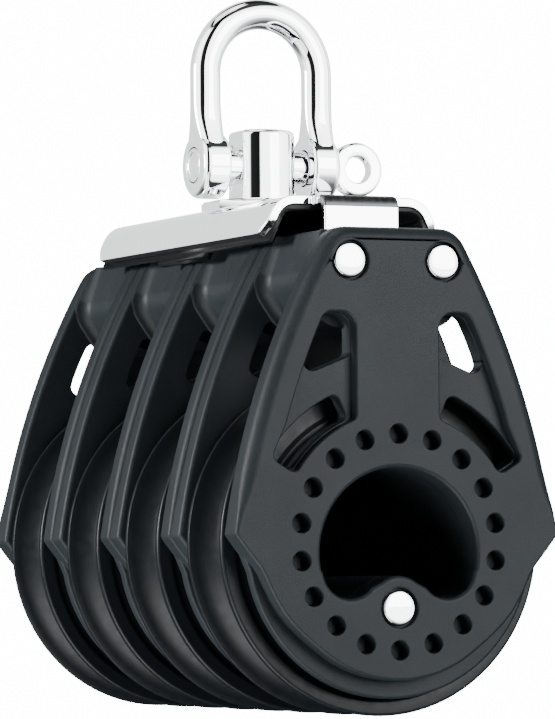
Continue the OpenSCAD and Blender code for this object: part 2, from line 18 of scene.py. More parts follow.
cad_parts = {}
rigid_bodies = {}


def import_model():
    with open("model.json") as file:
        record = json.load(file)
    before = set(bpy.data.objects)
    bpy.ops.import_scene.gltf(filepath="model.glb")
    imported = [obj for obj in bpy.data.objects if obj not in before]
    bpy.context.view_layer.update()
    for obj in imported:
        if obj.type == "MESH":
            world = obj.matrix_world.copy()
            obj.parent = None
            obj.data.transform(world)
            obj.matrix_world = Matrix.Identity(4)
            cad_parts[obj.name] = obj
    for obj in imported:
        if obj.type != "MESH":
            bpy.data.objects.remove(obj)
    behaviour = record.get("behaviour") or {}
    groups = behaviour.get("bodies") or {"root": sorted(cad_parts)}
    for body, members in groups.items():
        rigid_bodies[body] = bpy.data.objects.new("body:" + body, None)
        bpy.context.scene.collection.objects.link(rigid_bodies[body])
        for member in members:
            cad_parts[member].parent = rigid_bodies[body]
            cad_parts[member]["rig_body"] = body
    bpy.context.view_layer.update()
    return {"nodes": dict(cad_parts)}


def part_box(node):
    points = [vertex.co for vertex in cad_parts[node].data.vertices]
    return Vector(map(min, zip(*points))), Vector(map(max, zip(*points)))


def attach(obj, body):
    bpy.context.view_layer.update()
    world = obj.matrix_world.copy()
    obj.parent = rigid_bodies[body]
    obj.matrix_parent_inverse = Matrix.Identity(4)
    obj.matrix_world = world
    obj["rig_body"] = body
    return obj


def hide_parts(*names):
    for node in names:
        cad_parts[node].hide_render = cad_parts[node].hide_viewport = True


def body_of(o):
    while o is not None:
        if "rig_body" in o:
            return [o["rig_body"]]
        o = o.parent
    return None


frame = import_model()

LOG = logging.getLogger("block")
MM = 0.001
BAYS = (1, 2, 3, 4)

Point = tuple[float, float]
Loop = list[Point]
Point3 = tuple[float, float, float]
Radius = float | Callable[[Point], float]


class Side(Enum):
    """Which cheek of a bay a piece is: towards -Y or towards +Y."""

    FRONT = -1
    BACK = 1


class Tone(Enum):
    """Base colours of the finishes, as linear RGB."""

    CHEEK = (0.0335, 0.0435, 0.0495)
    SHEAVE = (0.0185, 0.0235, 0.0275)
    STEEL = (0.86, 0.868, 0.875)
    BRUSHED = (0.20, 0.205, 0.21)
    SHEARED = (0.10, 0.105, 0.11)
    ACETAL = (0.80, 0.79, 0.74)
    SADDLE = (0.018, 0.020, 0.022)
    FLOOR = (0.93, 0.93, 0.93)


def node_centre(node: str) -> Point3:
    """Centre of a CAD node's box, in millimetres."""
    low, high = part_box(node)
    return tuple((a + b) / 2 / MM for a, b in zip(low, high))


AXLE_Z = node_centre("sheave_1")[2]
PIN_Z = node_centre("shackle_pin")[2]
BAY_Y = {bay: node_centre(f"sheave_{bay}")[1] for bay in BAYS}
HEAD_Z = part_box("head_plate")[1][2] / MM - AXLE_Z


def arc(centre: Point, radius: float, start: float, end: float, steps: int) -> Loop:
    """Points along an arc.

    Args:
        centre: centre of the arc.
        radius: its radius.
        start: first angle in degrees.
        end: last angle in degrees.
        steps: number of segments.

    Returns:
        steps + 1 points from start to end.
    """
    angles = [math.radians(start + (end - start) * i / steps) for i in range(steps + 1)]
    return [(centre[0] + radius * math.cos(a), centre[1] + radius * math.sin(a)) for a in angles]


def circle(centre: Point, radius: float, steps: int) -> Loop:
    """Closed circle of steps points, anticlockwise."""
    return arc(centre, radius, 0, 360, steps)[:-1]


def rounded(corners: Sequence[tuple[float, ...]], steps: int = 6) -> Loop:
    """Closed outline with round corners.

    Args:
        corners: (x, z) for a plain point or (x, z, r) for a corner of radius r.
        steps: segments in each round corner.

    Returns:
        The points of the outline.
    """
    loop: Loop = []
    count = len(corners)
    for i, corner in enumerate(corners):
        here = Vector(corner[:2])
        radius = corner[2] if len(corner) > 2 else 0.0
        if radius <= 0:
            loop.append((here.x, here.y))
            continue
        to_last = (Vector(corners[i - 1][:2]) - here).normalized()
        to_next = (Vector(corners[(i + 1) % count][:2]) - here).normalized()
        half = to_last.angle(to_next) / 2
        centre = here + (to_last + to_next).normalized() * (radius / math.sin(half))
        first = here + to_last * (radius / math.tan(half)) - centre
        last = here + to_next * (radius / math.tan(half)) - centre
        turn = math.atan2(first.x * last.y - first.y * last.x, first.dot(last))
        start = math.atan2(first.y, first.x)
        for k in range(steps + 1):
            angle = start + turn * k / steps
            loop.append((centre.x + radius * math.cos(angle), centre.y + radius * math.sin(angle)))
    return loop


def mirrored(half: Sequence[tuple[float, ...]]) -> list[tuple[float, ...]]:
    """The right-hand points, then the same points mirrored in reverse order, so that the loop closes."""
    return list(half) + [(-p[0], *p[1:]) for p in reversed(half)]


def flipped(loop: Loop) -> Loop:
    """The loop on the other side of the middle, still anticlockwise."""
    return [(-x, z) for x, z in reversed(loop)]


def shifted(loop: Loop, distance: Radius) -> Loop:
    """Loop with each point moved along its own normal.

    Args:
        loop: anticlockwise outline.
        distance: how far outwards, or a function of the point that gives it.

    Returns:
        As many points as the loop has.
    """
    moved: Loop = []
    count = len(loop)
    for i, point in enumerate(loop):
        before = Vector(point) - Vector(loop[i - 1])
        after = Vector(loop[(i + 1) % count]) - Vector(point)
        normal_a = Vector((before.y, -before.x)).normalized()
        normal_b = Vector((after.y, -after.x)).normalized()
        normal = (normal_a + normal_b).normalized()
        stretch = 1 / max(normal.dot(normal_a), 0.6)
        step = (distance(point) if callable(distance) else distance) * stretch
        moved.append((point[0] + normal.x * step, point[1] + normal.y * step))
    return moved


def quarter(steps: int) -> list[Point]:
    """(1 - sin, 1 - cos) along a quarter round: how far in, and how deep, for a radius of one."""
    angles = [math.pi / 2 * i / steps for i in range(steps + 1)]
    return [(1 - math.sin(a), 1 - math.cos(a)) for a in angles]


class Shell:
    """Collects rings of points and the faces between them, and becomes a mesh."""

    def __init__(self) -> None:
        """Starts empty."""
        self.points: list[Point3] = []
        self.faces: list[list[int]] = []
        self.marks: list[int] = []
        self.caps: set[int] = set()

    def ring(self, points: Iterable[Point3]) -> list[int]:
        """Adds points and returns their numbers."""
        start = len(self.points)
        self.points.extend(points)
        return list(range(start, len(self.points)))

    def bridge(self, one: list[int], other: list[int], closed: bool = True, mark: int = 0) -> None:
        """Adds a band of quads between two rings.

        Args:
            one: numbers of the first ring.
            other: numbers of the second ring, as many as the first.
            closed: whether the last quad joins the ends.
            mark: material slot of the band.
        """
        count = len(one)
        for i in range(count if closed else count - 1):
            k = (i + 1) % count
            self.faces.append([one[i], one[k], other[k], other[i]])
            self.marks.append(mark)

    def fill(self, outer: list[int], holes: Sequence[list[int]] = (), mark: int = 0) -> None:
        """Closes a flat ring, leaving holes open.

        Args:
            outer: numbers of the outer ring.
            holes: numbers of each hole's ring.
            mark: material slot of the faces.
        """
        rings = [outer, *holes]
        numbers = [n for ring in rings for n in ring]
        for triangle in tessellate_polygon([[Vector(self.points[n]) for n in ring] for ring in rings]):
            self.caps.add(len(self.faces))
            self.faces.append([numbers[k] for k in triangle])
            self.marks.append(mark)

    def build(self, name: str, finishes: Sequence["Finish"], slot: str) -> bpy.types.Object:
        """Makes a smooth-shaded object in metres.

        Args:
            name: name of the object.
            finishes: one finish for each mark.
            slot: not used.

        Returns:
            The new object, linked to the scene.
        """
        mesh = bpy.data.meshes.new(name)
        mesh.from_pydata([tuple(c * MM for c in p) for p in self.points], [], self.faces)
        flat = mesh.attributes.new("flat", "INT", "FACE")
        for i, (face, mark) in enumerate(zip(mesh.polygons, self.marks)):
            face.material_index = mark
            face.use_smooth = True
            flat.data[i].value = int(i in self.caps)
        work = bmesh.new()
        work.from_mesh(mesh)
        bmesh.ops.remove_doubles(work, verts=work.verts, dist=1e-7)
        bmesh.ops.recalc_face_normals(work, faces=work.faces)
        work.to_mesh(mesh)
        work.free()
        mesh.normals_split_custom_set_from_vertices(self.normals(mesh))
        for finish in finishes:
            mesh.materials.append(finish.material())
        piece = bpy.data.objects.new(name, mesh)
        bpy.context.scene.collection.objects.link(piece)
        return piece

    @staticmethod
    def normals(mesh: bpy.types.Mesh) -> list[Vector]:
        """A normal for each vertex: that of a flat cap where one meets it, else the faces' weighted mean."""
        flat = mesh.attributes["flat"].data
        sums = [Vector() for _ in mesh.vertices]
        for i, face in enumerate(mesh.polygons):
            pull = face.normal * face.area * (1e6 if flat[i].value else 1.0)
            for vertex in face.vertices:
                sums[vertex] += pull
        return [v.normalized() if v.length > 0 else Vector((0, 0, 1)) for v in sums]


def lathe(shell: Shell, profile: Loop, place: Callable[[float, float, float], Point3], steps: int,
          closed: bool = True) -> None:
    """Turns a profile about an axis.

    Args:
        shell: the shell to add to.
        profile: (radius, along) points.
        place: turns (radius, along, angle) into a point in the frame.
        steps: number of segments round the axis.
        closed: whether the profile's ends join.
    """
    rings = []
    for radius, along in profile:
        rings.append(shell.ring(place(radius, along, 2 * math.pi * i / steps) for i in range(steps)))
    for one, other in zip(rings, rings[1:] + (rings[:1] if closed else [])):
        shell.bridge(one, other)


class Graph:
    """Short-hand for building a material's nodes."""

    def __init__(self, name: str) -> None:
        """Starts a material with one Principled shader."""
        self.material = bpy.data.materials.new(name)
        self.material.use_nodes = True
        self.tree = self.material.node_tree
        self.shader = self.tree.nodes["Principled BSDF"]
        self.place = self.add("ShaderNodeTexCoord").outputs["Object"]

    def add(self, kind: str, **settings: object) -> bpy.types.Node:
        """Adds a node and sets its plain attributes."""
        node = self.tree.nodes.new(kind)
        for name, value in settings.items():
            setattr(node, name, value)
        return node

    def link(self, source: bpy.types.NodeSocket, target: bpy.types.NodeSocket) -> None:
        """Joins two sockets."""
        self.tree.links.new(source, target)

    def noise(self, scale: float, detail: float = 2.0, stretch: Point3 = (1, 1, 1)) -> bpy.types.NodeSocket:
        """Noise in the frame's own coordinates.

        Args:
            scale: cells in a metre.
            detail: octaves.
            stretch: factors along x, y and z.

        Returns:
            The noise value's socket.
        """
        spread = self.add("ShaderNodeMapping")
        spread.inputs["Scale"].default_value = stretch
        self.link(self.place, spread.inputs["Vector"])
        node = self.add("ShaderNodeTexNoise")
        node.inputs["Scale"].default_value = scale
        node.inputs["Detail"].default_value = detail
        self.link(spread.outputs["Vector"], node.inputs["Vector"])
        return node.outputs["Fac"]

    def spread(self, value: bpy.types.NodeSocket, low: float, high: float) -> bpy.types.NodeSocket:
        """Maps noise of 0.3 to 0.7 to low to high."""
        node = self.add("ShaderNodeMapRange")
        node.inputs["From Min"].default_value = 0.3
        node.inputs["From Max"].default_value = 0.7
        node.inputs["To Min"].default_value = low
        node.inputs["To Max"].default_value = high
        self.link(value, node.inputs["Value"])
        return node.outputs["Result"]

    def tint(self, value: bpy.types.NodeSocket, dark: Point3, light: Point3) -> bpy.types.NodeSocket:
        """Mixes two colours by a value."""
        node = self.add("ShaderNodeMix", data_type="RGBA")
        node.inputs["A"].default_value = (*dark, 1)
        node.inputs["B"].default_value = (*light, 1)
        self.link(value, node.inputs["Factor"])
        return node.outputs["Result"]

    def blend(self, one: bpy.types.NodeSocket, other: bpy.types.NodeSocket, share: float) -> bpy.types.NodeSocket:
        """Mixes two values, with the given share of the second."""
        node = self.add("ShaderNodeMix", data_type="FLOAT")
        node.inputs["Factor"].default_value = share
        self.link(one, node.inputs["A"])
        self.link(other, node.inputs["B"])
        return node.outputs["Result"]

    def bump(self, heights: Sequence[tuple[bpy.types.NodeSocket, float]]) -> None:
        """Stacks bumps on the shader.

        Args:
            heights: (value, depth in metres) of each layer.
        """
        normal = None
        for value, depth in heights:
            node = self.add("ShaderNodeBump")
            node.inputs["Strength"].default_value = 1.0
            node.inputs["Distance"].default_value = depth
            self.link(value, node.inputs["Height"])
            if normal is not None:
                self.link(normal, node.inputs["Normal"])
            normal = node.outputs["Normal"]
        self.link(normal, self.shader.inputs["Normal"])

    def set(self, **values: object) -> None:
        """Sets sockets of the shader: underscores stand for spaces."""
        for name, value in values.items():
            self.shader.inputs[name.replace("_", " ")].default_value = value


@dataclass(frozen=True)
class Finish:
    """A surface finish. Each kind makes its material once."""

    name: str
    tone: Tone

    def material(self) -> bpy.types.Material:
        """The material, made on first use."""
        own_name = f"{self.name}_finish"
        made = bpy.data.materials.get(own_name)
        return made if made else self.make(Graph(own_name))

    def shade(self, factor: float) -> Point3:
        """The tone made lighter or darker by a factor."""
        return tuple(min(c * factor, 1.0) for c in self.tone.value)

    def make(self, graph: Graph) -> bpy.types.Material:
        """Builds the material's nodes."""
        raise NotImplementedError


@dataclass(frozen=True)
class MouldedNylon(Finish):
    """Glass-filled nylon with a fine spark-eroded grain."""

    roughness: float = 0.52
    grain: float = 3400.0
    grain_depth: float = 0.00003

    def make(self, graph: Graph) -> bpy.types.Material:
        """Builds the grain, the faint mottling and the uneven gloss.

        Args:
            graph: the new material's graph.

        Returns:
            The finished material.
        """
        grain = graph.noise(self.grain, 2)
        mottle = graph.blend(graph.noise(90, 3), grain, 0.55)
        graph.link(graph.tint(graph.spread(mottle, 0.0, 1.0), self.shade(0.72), self.shade(1.3)),
                   graph.shader.inputs["Base Color"])
        graph.link(graph.spread(grain, self.roughness - 0.07, self.roughness + 0.07),
                   graph.shader.inputs["Roughness"])
        graph.bump([(graph.noise(420, 2), 0.00001), (grain, self.grain_depth)])
        graph.set(Specular_IOR_Level=0.5)
        return graph.material


@dataclass(frozen=True)
class SheaveNylon(Finish):
    """Smooth moulded nylon with turning marks round the axle and a soft gloss."""

    roughness: float = 0.38

    def make(self, graph: Graph) -> bpy.types.Material:
        """Builds the gloss, the light rope polish and the fine turning marks.

        Args:
            graph: the new material's graph.

        Returns:
            The finished material.
        """
        cloud = graph.noise(160, 3)
        lines = graph.noise(2600, 1, (0.05, 1, 0.05))
        graph.link(graph.tint(cloud, self.shade(0.8), self.shade(1.25)), graph.shader.inputs["Base Color"])
        graph.link(graph.spread(graph.noise(700, 3), self.roughness - 0.05, self.roughness + 0.07),
                   graph.shader.inputs["Roughness"])
        graph.bump([(lines, 0.000003), (graph.noise(2200, 2), 0.000006)])
        graph.set(Specular_IOR_Level=0.5)
        return graph.material


@dataclass(frozen=True)
class PolishedSteel(Finish):
    """Mirror-polished stainless steel with faint polishing waves and hairlines."""

    roughness: float = 0.0
    wave_depth: float = 0.000012

    def make(self, graph: Graph) -> bpy.types.Material:
        """Builds the mirror, its smudges and its hairlines.

        Args:
            graph: the new material's graph.

        Returns:
            The finished material.
        """
        smudge = graph.noise(260, 4)
        hair = graph.noise(2400, 1, (0.06, 1, 1))
        graph.link(graph.tint(smudge, self.shade(0.95), self.shade(1.05)), graph.shader.inputs["Base Color"])
        graph.bump([(graph.noise(170, 1), self.wave_depth), (hair, 0.0000008)])
        graph.set(Metallic=1.0, Roughness=self.roughness)
        return graph.material


@dataclass(frozen=True)
class BrushedSteel(Finish):
    """Steel left with the drag marks of the bending tool."""

    roughness: float = 0.42

    def make(self, graph: Graph) -> bpy.types.Material:
        """Builds the dull metal with marks that run across the bend.

        Args:
            graph: the new material's graph.

        Returns:
            The finished material.
        """
        marks = graph.noise(5200, 3, (1, 0.12, 0.12))
        graph.link(graph.tint(marks, self.shade(0.55), self.shade(1.7)), graph.shader.inputs["Base Color"])
        graph.link(graph.spread(marks, self.roughness - 0.08, self.roughness + 0.12),
                   graph.shader.inputs["Roughness"])
        graph.bump([(marks, 0.00002)])
        graph.set(Metallic=1.0)
        return graph.material


@dataclass(frozen=True)
class SmoothAcetal(Finish):
    """Bearing plastic, slightly waxy."""

    roughness: float = 0.33

    def make(self, graph: Graph) -> bpy.types.Material:
        """Builds the waxy plastic.

        Args:
            graph: the new material's graph.

        Returns:
            The finished material.
        """
        cloud = graph.noise(300, 3)
        graph.link(graph.tint(cloud, self.shade(0.93), self.shade(1.04)), graph.shader.inputs["Base Color"])
        graph.link(graph.spread(cloud, self.roughness - 0.06, self.roughness + 0.08),
                   graph.shader.inputs["Roughness"])
        graph.bump([(graph.noise(1800, 2), 0.000005)])
        return graph.material


CHEEK_NYLON = MouldedNylon("cheek_nylon", Tone.CHEEK)
SADDLE_NYLON = MouldedNylon("saddle_nylon", Tone.SADDLE, roughness=0.45)
SHEAVE_NYLON = SheaveNylon("sheave_nylon", Tone.SHEAVE)
STEEL = PolishedSteel("polished_steel", Tone.STEEL)
RIVET_STEEL = PolishedSteel("rivet_steel", Tone.STEEL)
BEND_STEEL = BrushedSteel("bend_steel", Tone.BRUSHED)
SHEARED_STEEL = BrushedSteel("sheared_steel", Tone.SHEARED, roughness=0.55)
ACETAL = SmoothAcetal("acetal", Tone.ACETAL)


@dataclass
class CheekMould:
    """One moulded cheek with half of the spacer block, seen from its own bay.

    The cheek's inner face is at depth 0 and its outer face at depth t, away from the sheave.
    """

    gap_half: float = 9.25
    plate_t: float = 4.4
    face_rise: float = 1.0
    shoulder: Point = (28.4, 5.0)
    crown: Point = (11.3, 51.5)
    crown_r: float = 5.0
    side_bow: float = 2.24
    rim_w: float = 5.0
    boss_r: float = 22.1
    boss_drop: float = 0.5
    skirt_r: float = 25.6
    skirt_t: float = 2.2
    hub_hole: tuple[float, float] = (14.07, -1.9)
    lobe: tuple[float, float, float] = (4.8, 8.7, -4.45)
    hub_rivet: tuple[float, float] = (5.26, -10.74)
    pocket_x: float = 7.5
    pocket_depth: float = 2.0
    hole_top: float = 37.5
    bar_z: float = 30.4
    slot: tuple[float, float, float, float] = (21.4, 26.3, 31.0, 67.5)
    pip_count: int = 18
    pip_ring_r: float = 17.65
    pip_r: float = 1.6
    pip_depth: float = 3.0
    rivet: Point = (8.39, 45.94)
    rivet_hole_r: float = 2.05
    recess: tuple[float, float] = (3.35, 1.2)
    spacer_z: float = 37.3
    spacer_w: float = 13.4
    spacer_flare: float = 2.3
    thrust: tuple[float, float, float] = (15.75, 21.5, 1.45)
    rail_steps: int = 14
    side_r: float = field(init=False)
    side_centre: Vector = field(init=False)

    def __post_init__(self) -> None:
        """Works out the circle that each long side follows."""
        low, high = Vector(self.shoulder), Vector(self.crown)
        chord = (high - low).length
        normal = Vector((high.y - low.y, low.x - high.x)) / chord
        self.side_r = chord ** 2 / (8 * self.side_bow) + self.side_bow / 2
        self.side_centre = (low + high) / 2 + normal * (self.side_bow - self.side_r)

    def side_x(self, z: float, inset: float = 0.0) -> float:
        """Half width of the cheek at height z, less an inset along the side's radius."""
        reach = (self.side_r - inset) ** 2 - (z - self.side_centre.y) ** 2
        return self.side_centre.x + math.sqrt(reach)

    def outline(self) -> Loop:
        """Outer edge: long bowed sides, shoulders, and the round lower edge of the boss."""
        low = arc((0, -self.boss_drop), self.boss_r, -90, -52, 12)
        swell = ((-46, 0.15), (-40, 0.45), (-34, 0.85), (-28, 1.25), (-22, 1.6), (-16, 1.95), (-11.5, 2.35), (-8, 2.95))
        low += [arc((0, -self.boss_drop), self.boss_r + out, a, a, 1)[0] for a, out in swell]
        step = (self.crown[1] - self.shoulder[1]) / self.rail_steps
        heights = [self.shoulder[1] + i * step for i in range(self.rail_steps)]
        half = [*low, (26.9, -1.5), (self.side_x(1.2), 1.2, 1.3)]
        half += [(self.side_x(z), z) for z in heights]
        half.append((*self.crown, self.crown_r))
        return rounded(mirrored(half)[:-1])

    def hub_opening(self) -> Loop:
        """Hub opening: a big arc over two lobes, with a hump for the rivet boss between them."""
        big_r, big_z = self.hub_hole
        lobe_r, lobe_x, lobe_z = self.lobe
        hump_r, hump_z = self.hub_rivet
        reach = math.sqrt(big_r ** 2 - (lobe_z - big_z) ** 2)
        start = math.degrees(math.atan2(lobe_z - big_z, reach))
        top = arc((0, big_z), big_r, start, 90, 22)
        lobe = arc((lobe_x, lobe_z), lobe_r, -142, -6, 14)
        hump = arc((0, hump_z), hump_r, 90, 52, 8)
        half = hump + lobe + top[:-1]
        return [(x, z) for x, z in half] + [(0.0, big_z + big_r)] + [(-x, z) for x, z in reversed(half[1:])]

    def pocket(self) -> Loop:
        """Pocket beside the middle strap."""
        inner_r, outer_r, low, _ = self.slot
        toe, foot = arc((0, 0), outer_r, low, low, 1)[0], arc((0, 0), inner_r, low, low, 1)[0]
        bottom = [p for p in arc((0, 0), inner_r, 38, 62, 6)]
        corner_z = math.sqrt(inner_r ** 2 - self.pocket_x ** 2)
        rail = [(self.side_x(z, self.rim_w), z) for z in (19, 22, 25, 28, 31, 34)]
        points = [(self.pocket_x, corner_z, 1.2), *reversed(bottom), (*foot, 1.3), (*toe, 1.5), *rail]
        points += [(self.side_x(self.hole_top, self.rim_w), self.hole_top, 2.2),
                   (self.pocket_x, self.hole_top, 2.6)]
        return rounded(points)

    def window(self) -> Loop:
        """Through hole in the upper part of the pocket, just inside the pocket's walls."""
        margin = 0.28
        foot_z = self.bar_z - 3.8
        rail = [(self.side_x(z, self.rim_w + margin), z) for z in (29, 31, 34)]
        return rounded([
            (self.pocket_x + margin, self.bar_z, 1.2),
            (self.side_x(foot_z, self.rim_w + margin), foot_z, 1.6), *rail,
            (self.side_x(self.hole_top, self.rim_w + margin), self.hole_top - margin, 2.0),
            (self.pocket_x + margin, self.hole_top - margin, 2.4),
        ])

    def slot_loop(self) -> Loop:
        """Through slot that curves round the bearing, just inside the pocket's walls."""
        margin = 0.28
        inner_r, outer_r, low, high = self.slot
        inner_r += margin
        low += 0.8
        inside = arc((0, 0), inner_r, low, high, 8)
        outside = arc((0, 0), outer_r, high, low, 8)
        corner = [(*inside[0], 1.2), *inside[1:-1], (*inside[-1], 1.2)]
        corner += [(*outside[0], 1.4), *outside[1:-1], (*outside[-1], 1.4)]
        return rounded(list(reversed(corner)))

    def spacer(self) -> Loop:
        """Half of the block that holds the two cheeks of a bay apart."""
        return rounded(mirrored([
            (self.spacer_w - 3.9, self.spacer_z, 4.0),
            (self.spacer_w, self.spacer_z + 5.6, 4.0),
            (self.crown[0] - 0.7, self.crown[1] - 0.2, 0.8),
        ]), steps=8)

    def pips(self) -> list[Loop]:
        """Blind holes round the hub."""
        loops = []
        for i in range(self.pip_count):
            angle = math.radians(90 + 360 * i / self.pip_count)
            centre = (self.pip_ring_r * math.cos(angle), self.pip_ring_r * math.sin(angle))
            loops.append(circle(centre, self.pip_r, 28))
        return loops

    def build(self, name: str, bay: int, side: Side, outer: bool) -> bpy.types.Object:
        """Makes one cheek in place.

        Args:
            name: the piece's name.
            bay: number of the bay, from the front.
            side: which of the bay's two cheeks.
            outer: whether it is one of the two outer cheeks, with pockets and blind holes.

        Returns:
            The cheek.
        """
        shell = Shell()
        t = self.plate_t + (self.face_rise if outer else 0)

        def lay(loop: Loop, depth: float) -> list[int]:
            """Adds a loop at a depth from the cheek's inner face."""
            y = BAY_Y[bay] + side.value * (self.gap_half + depth)
            return shell.ring((x, y, z + AXLE_Z) for x, z in loop)

        self.slab(shell, lay, t, outer)
        self.lower_flange(shell, lay)
        self.spacer_half(shell, lay)
        self.thrust_ring(shell, lay)
        return shell.build(name, [CHEEK_NYLON], "cheek_nylon")

    def edge_radius(self, outer: bool) -> Callable[[Point], float]:
        """Rounding of the outer edge: wide along the sides, tight round the boss."""
        wide = 2.3 if outer else 1.5
        tight = 0.55 if outer else 0.8

        def radius(point: Point) -> float:
            """Rounding at one point of the outline."""
            blend = min(max((point[1] - 2.2) / 9.0, 0.0), 1.0)
            return tight + (wide - tight) * blend * blend * (3 - 2 * blend)

        return radius

    def slab(self, shell: Shell, lay: Callable[[Loop, float], list[int]], t: float, outer: bool) -> None:
        """Adds the plate itself with everything that is cut into it.

        Args:
            shell: the shell to add to.
            lay: adds a loop at a depth.
            t: thickness of the plate.
            outer: whether it has pockets, recesses and blind holes.
        """
        outline = self.outline()
        radius = self.edge_radius(outer)
        rings = []
        for inset, deep in quarter(6):
            loop = shifted(outline, lambda p: -inset * radius(p))
            start = len(shell.points)
            ring = lay(loop, 0)
            for k, point in zip(ring, outline):
                self.move_to_depth(shell, k, lay, t - deep * radius(point))
            rings.append(list(range(start, start + len(loop))))
        for inset, deep in reversed(quarter(3)):
            rings.append(lay(shifted(outline, -inset * 0.8), deep * 0.8))
        for one, other in zip(rings, rings[1:]):
            shell.bridge(one, other)
        front_holes: list[list[int]] = []
        back_holes: list[list[int]] = []

        def through(loop: Loop, top: float, mouth: float, holes: list[list[int]]) -> None:
            """Adds a hole's wall from a face at depth top down to the inner face."""
            walls = [lay(shifted(loop, inset * mouth), top - deep * mouth) for inset, deep in quarter(4)]
            walls += [lay(shifted(loop, inset * 0.3), deep * 0.3) for inset, deep in reversed(quarter(2))]
            for one, other in zip(walls, walls[1:]):
                shell.bridge(one, other)
            holes.append(walls[0])
            back_holes.append(walls[-1])

        def blind(loop: Loop, depth: float, mouth: float, floor: float) -> list[int]:
            """Adds a pocket's wall down to its floor and returns the floor's ring."""
            walls = [lay(shifted(loop, inset * mouth), t - deep * mouth) for inset, deep in quarter(3)]
            bottom = list(reversed(quarter(3)))
            walls += [lay(shifted(loop, -inset * floor), t - depth + deep * floor) for inset, deep in bottom]
            for one, other in zip(walls, walls[1:]):
                shell.bridge(one, other)
            front_holes.append(walls[0])
            return walls[-1]

        through(self.hub_opening(), t, 0.7 if outer else 0.3, front_holes)
        windows = [self.window(), self.slot_loop()]
        for flip in (False, True):
            cuts = [flipped(w) if flip else w for w in windows]
            if outer:
                inner: list[list[int]] = []
                for cut in cuts:
                    through(cut, t - self.pocket_depth, 0.25, inner)
                floor = blind(flipped(self.pocket()) if flip else self.pocket(), self.pocket_depth, 0.35, 0.02)
                shell.fill(floor, inner)
            else:
                for cut in cuts:
                    through(cut, t, 0.4, front_holes)
        rivets = [(self.rivet[0], self.rivet[1]), (-self.rivet[0], self.rivet[1]), (0.0, self.hub_rivet[1])]
        for spot in rivets:
            hole = circle(spot, self.rivet_hole_r, 28)
            if outer:
                floor = blind(circle(spot, self.recess[0], 40), self.recess[1], 0.22, 0.15)
                inner = []
                through(hole, t - self.recess[1], 0.05, inner)
                shell.fill(floor, inner)
            else:
                through(hole, t, 0.1, front_holes)
        if outer:
            for pip in self.pips():
                shell.fill(blind(pip, self.pip_depth, 0.2, 0.5))
        shell.fill(rings[0], front_holes)
        shell.fill(rings[-1], back_holes)

    @staticmethod
    def move_to_depth(shell: Shell, number: int, lay: Callable[[Loop, float], list[int]], depth: float) -> None:
        """Moves one point to its own depth, where a ring isn't flat."""
        x, _, z = shell.points[number]
        probe = lay([(x, z - AXLE_Z)], depth)
        shell.points[number] = shell.points[probe[0]]
        shell.points.pop()

    def lower_flange(self, shell: Shell, lay: Callable[[Loop, float], list[int]]) -> None:
        """Adds the thin flange below the boss, with a horn up into each shoulder."""
        edge = 0.5
        outside = arc((0, 0), self.skirt_r, -90, -11, 22)
        inside = arc((0, 0), self.boss_r - 1.2, -6, -90, 22)
        half = [*outside, (self.skirt_r + 1.2, -1.1, 0.5), (self.side_x(4.6) - 0.35, 4.6), (22.5, 5.2)]
        loop = rounded(mirrored_band(half, inside))
        rings = [lay(shifted(loop, -inset * edge), self.skirt_t - deep * edge) for inset, deep in quarter(3)]
        rings += [lay(shifted(loop, -inset * edge), 0.02 + deep * edge) for inset, deep in reversed(quarter(3))]
        for one, other in zip(rings, rings[1:]):
            shell.bridge(one, other)
        shell.fill(rings[0])
        shell.fill(rings[-1])

    def spacer_half(self, shell: Shell, lay: Callable[[Loop, float], list[int]]) -> None:
        """Adds the half spacer, flared where it runs into the plate and bevelled at the middle seam."""
        loop = self.spacer()
        bevel = 0.12
        flare = self.spacer_flare

        def kept_inside(points: Loop) -> Loop:
            """Holds the flare inside the cheek's own outline."""
            top = self.crown[1] - 0.3
            return [(math.copysign(min(abs(x), self.side_x(min(z, top)) - 0.35), x), min(z, top))
                    for x, z in points]

        rings = [lay(shifted(loop, -inset * bevel), -self.gap_half + deep * bevel) for inset, deep in quarter(2)]
        for i in range(7):
            angle = math.pi / 2 * i / 6
            grow = flare * (1 - math.cos(angle))
            rings.append(lay(kept_inside(shifted(loop, grow)), -flare * (1 - math.sin(angle))))
        rings.append(lay(kept_inside(shifted(loop, flare)), 0.4))
        for one, other in zip(rings, rings[1:]):
            shell.bridge(one, other)
        shell.fill(rings[0])
        shell.fill(rings[-1])

    def thrust_ring(self, shell: Shell, lay: Callable[[Loop, float], list[int]]) -> None:
        """Adds the low ring that keeps the sheave clear of the cheek."""
        inner_r, outer_r, high = self.thrust
        section = [(inner_r, 0.3), (inner_r, -high + 0.2), (inner_r + 0.2, -high),
                   (outer_r - 0.3, -high), (outer_r, -high + 0.3), (outer_r, 0.3)]
        rings = [lay(circle((0, 0), radius, 72), depth) for radius, depth in section]
        for one, other in zip(rings, rings[1:] + rings[:1]):
            shell.bridge(one, other)


def mirrored_band(outer_half: Sequence[tuple[float, ...]], inner_half: Loop) -> list[tuple[float, ...]]:
    """Closed band that runs along its outer edge from left to right and back along its inner edge.

    Args:
        outer_half: right half of the outer edge, from the bottom up.
        inner_half: right half of the inner edge, from the top down.

    Returns:
        The corners of the whole band, anticlockwise.
    """
    left_outer = [(-p[0], *p[1:]) for p in reversed(outer_half[1:])]
    left_inner = [(-x, z) for x, z in reversed(inner_half[:-1])]
    return [*left_outer, *outer_half, *inner_half, *left_inner]


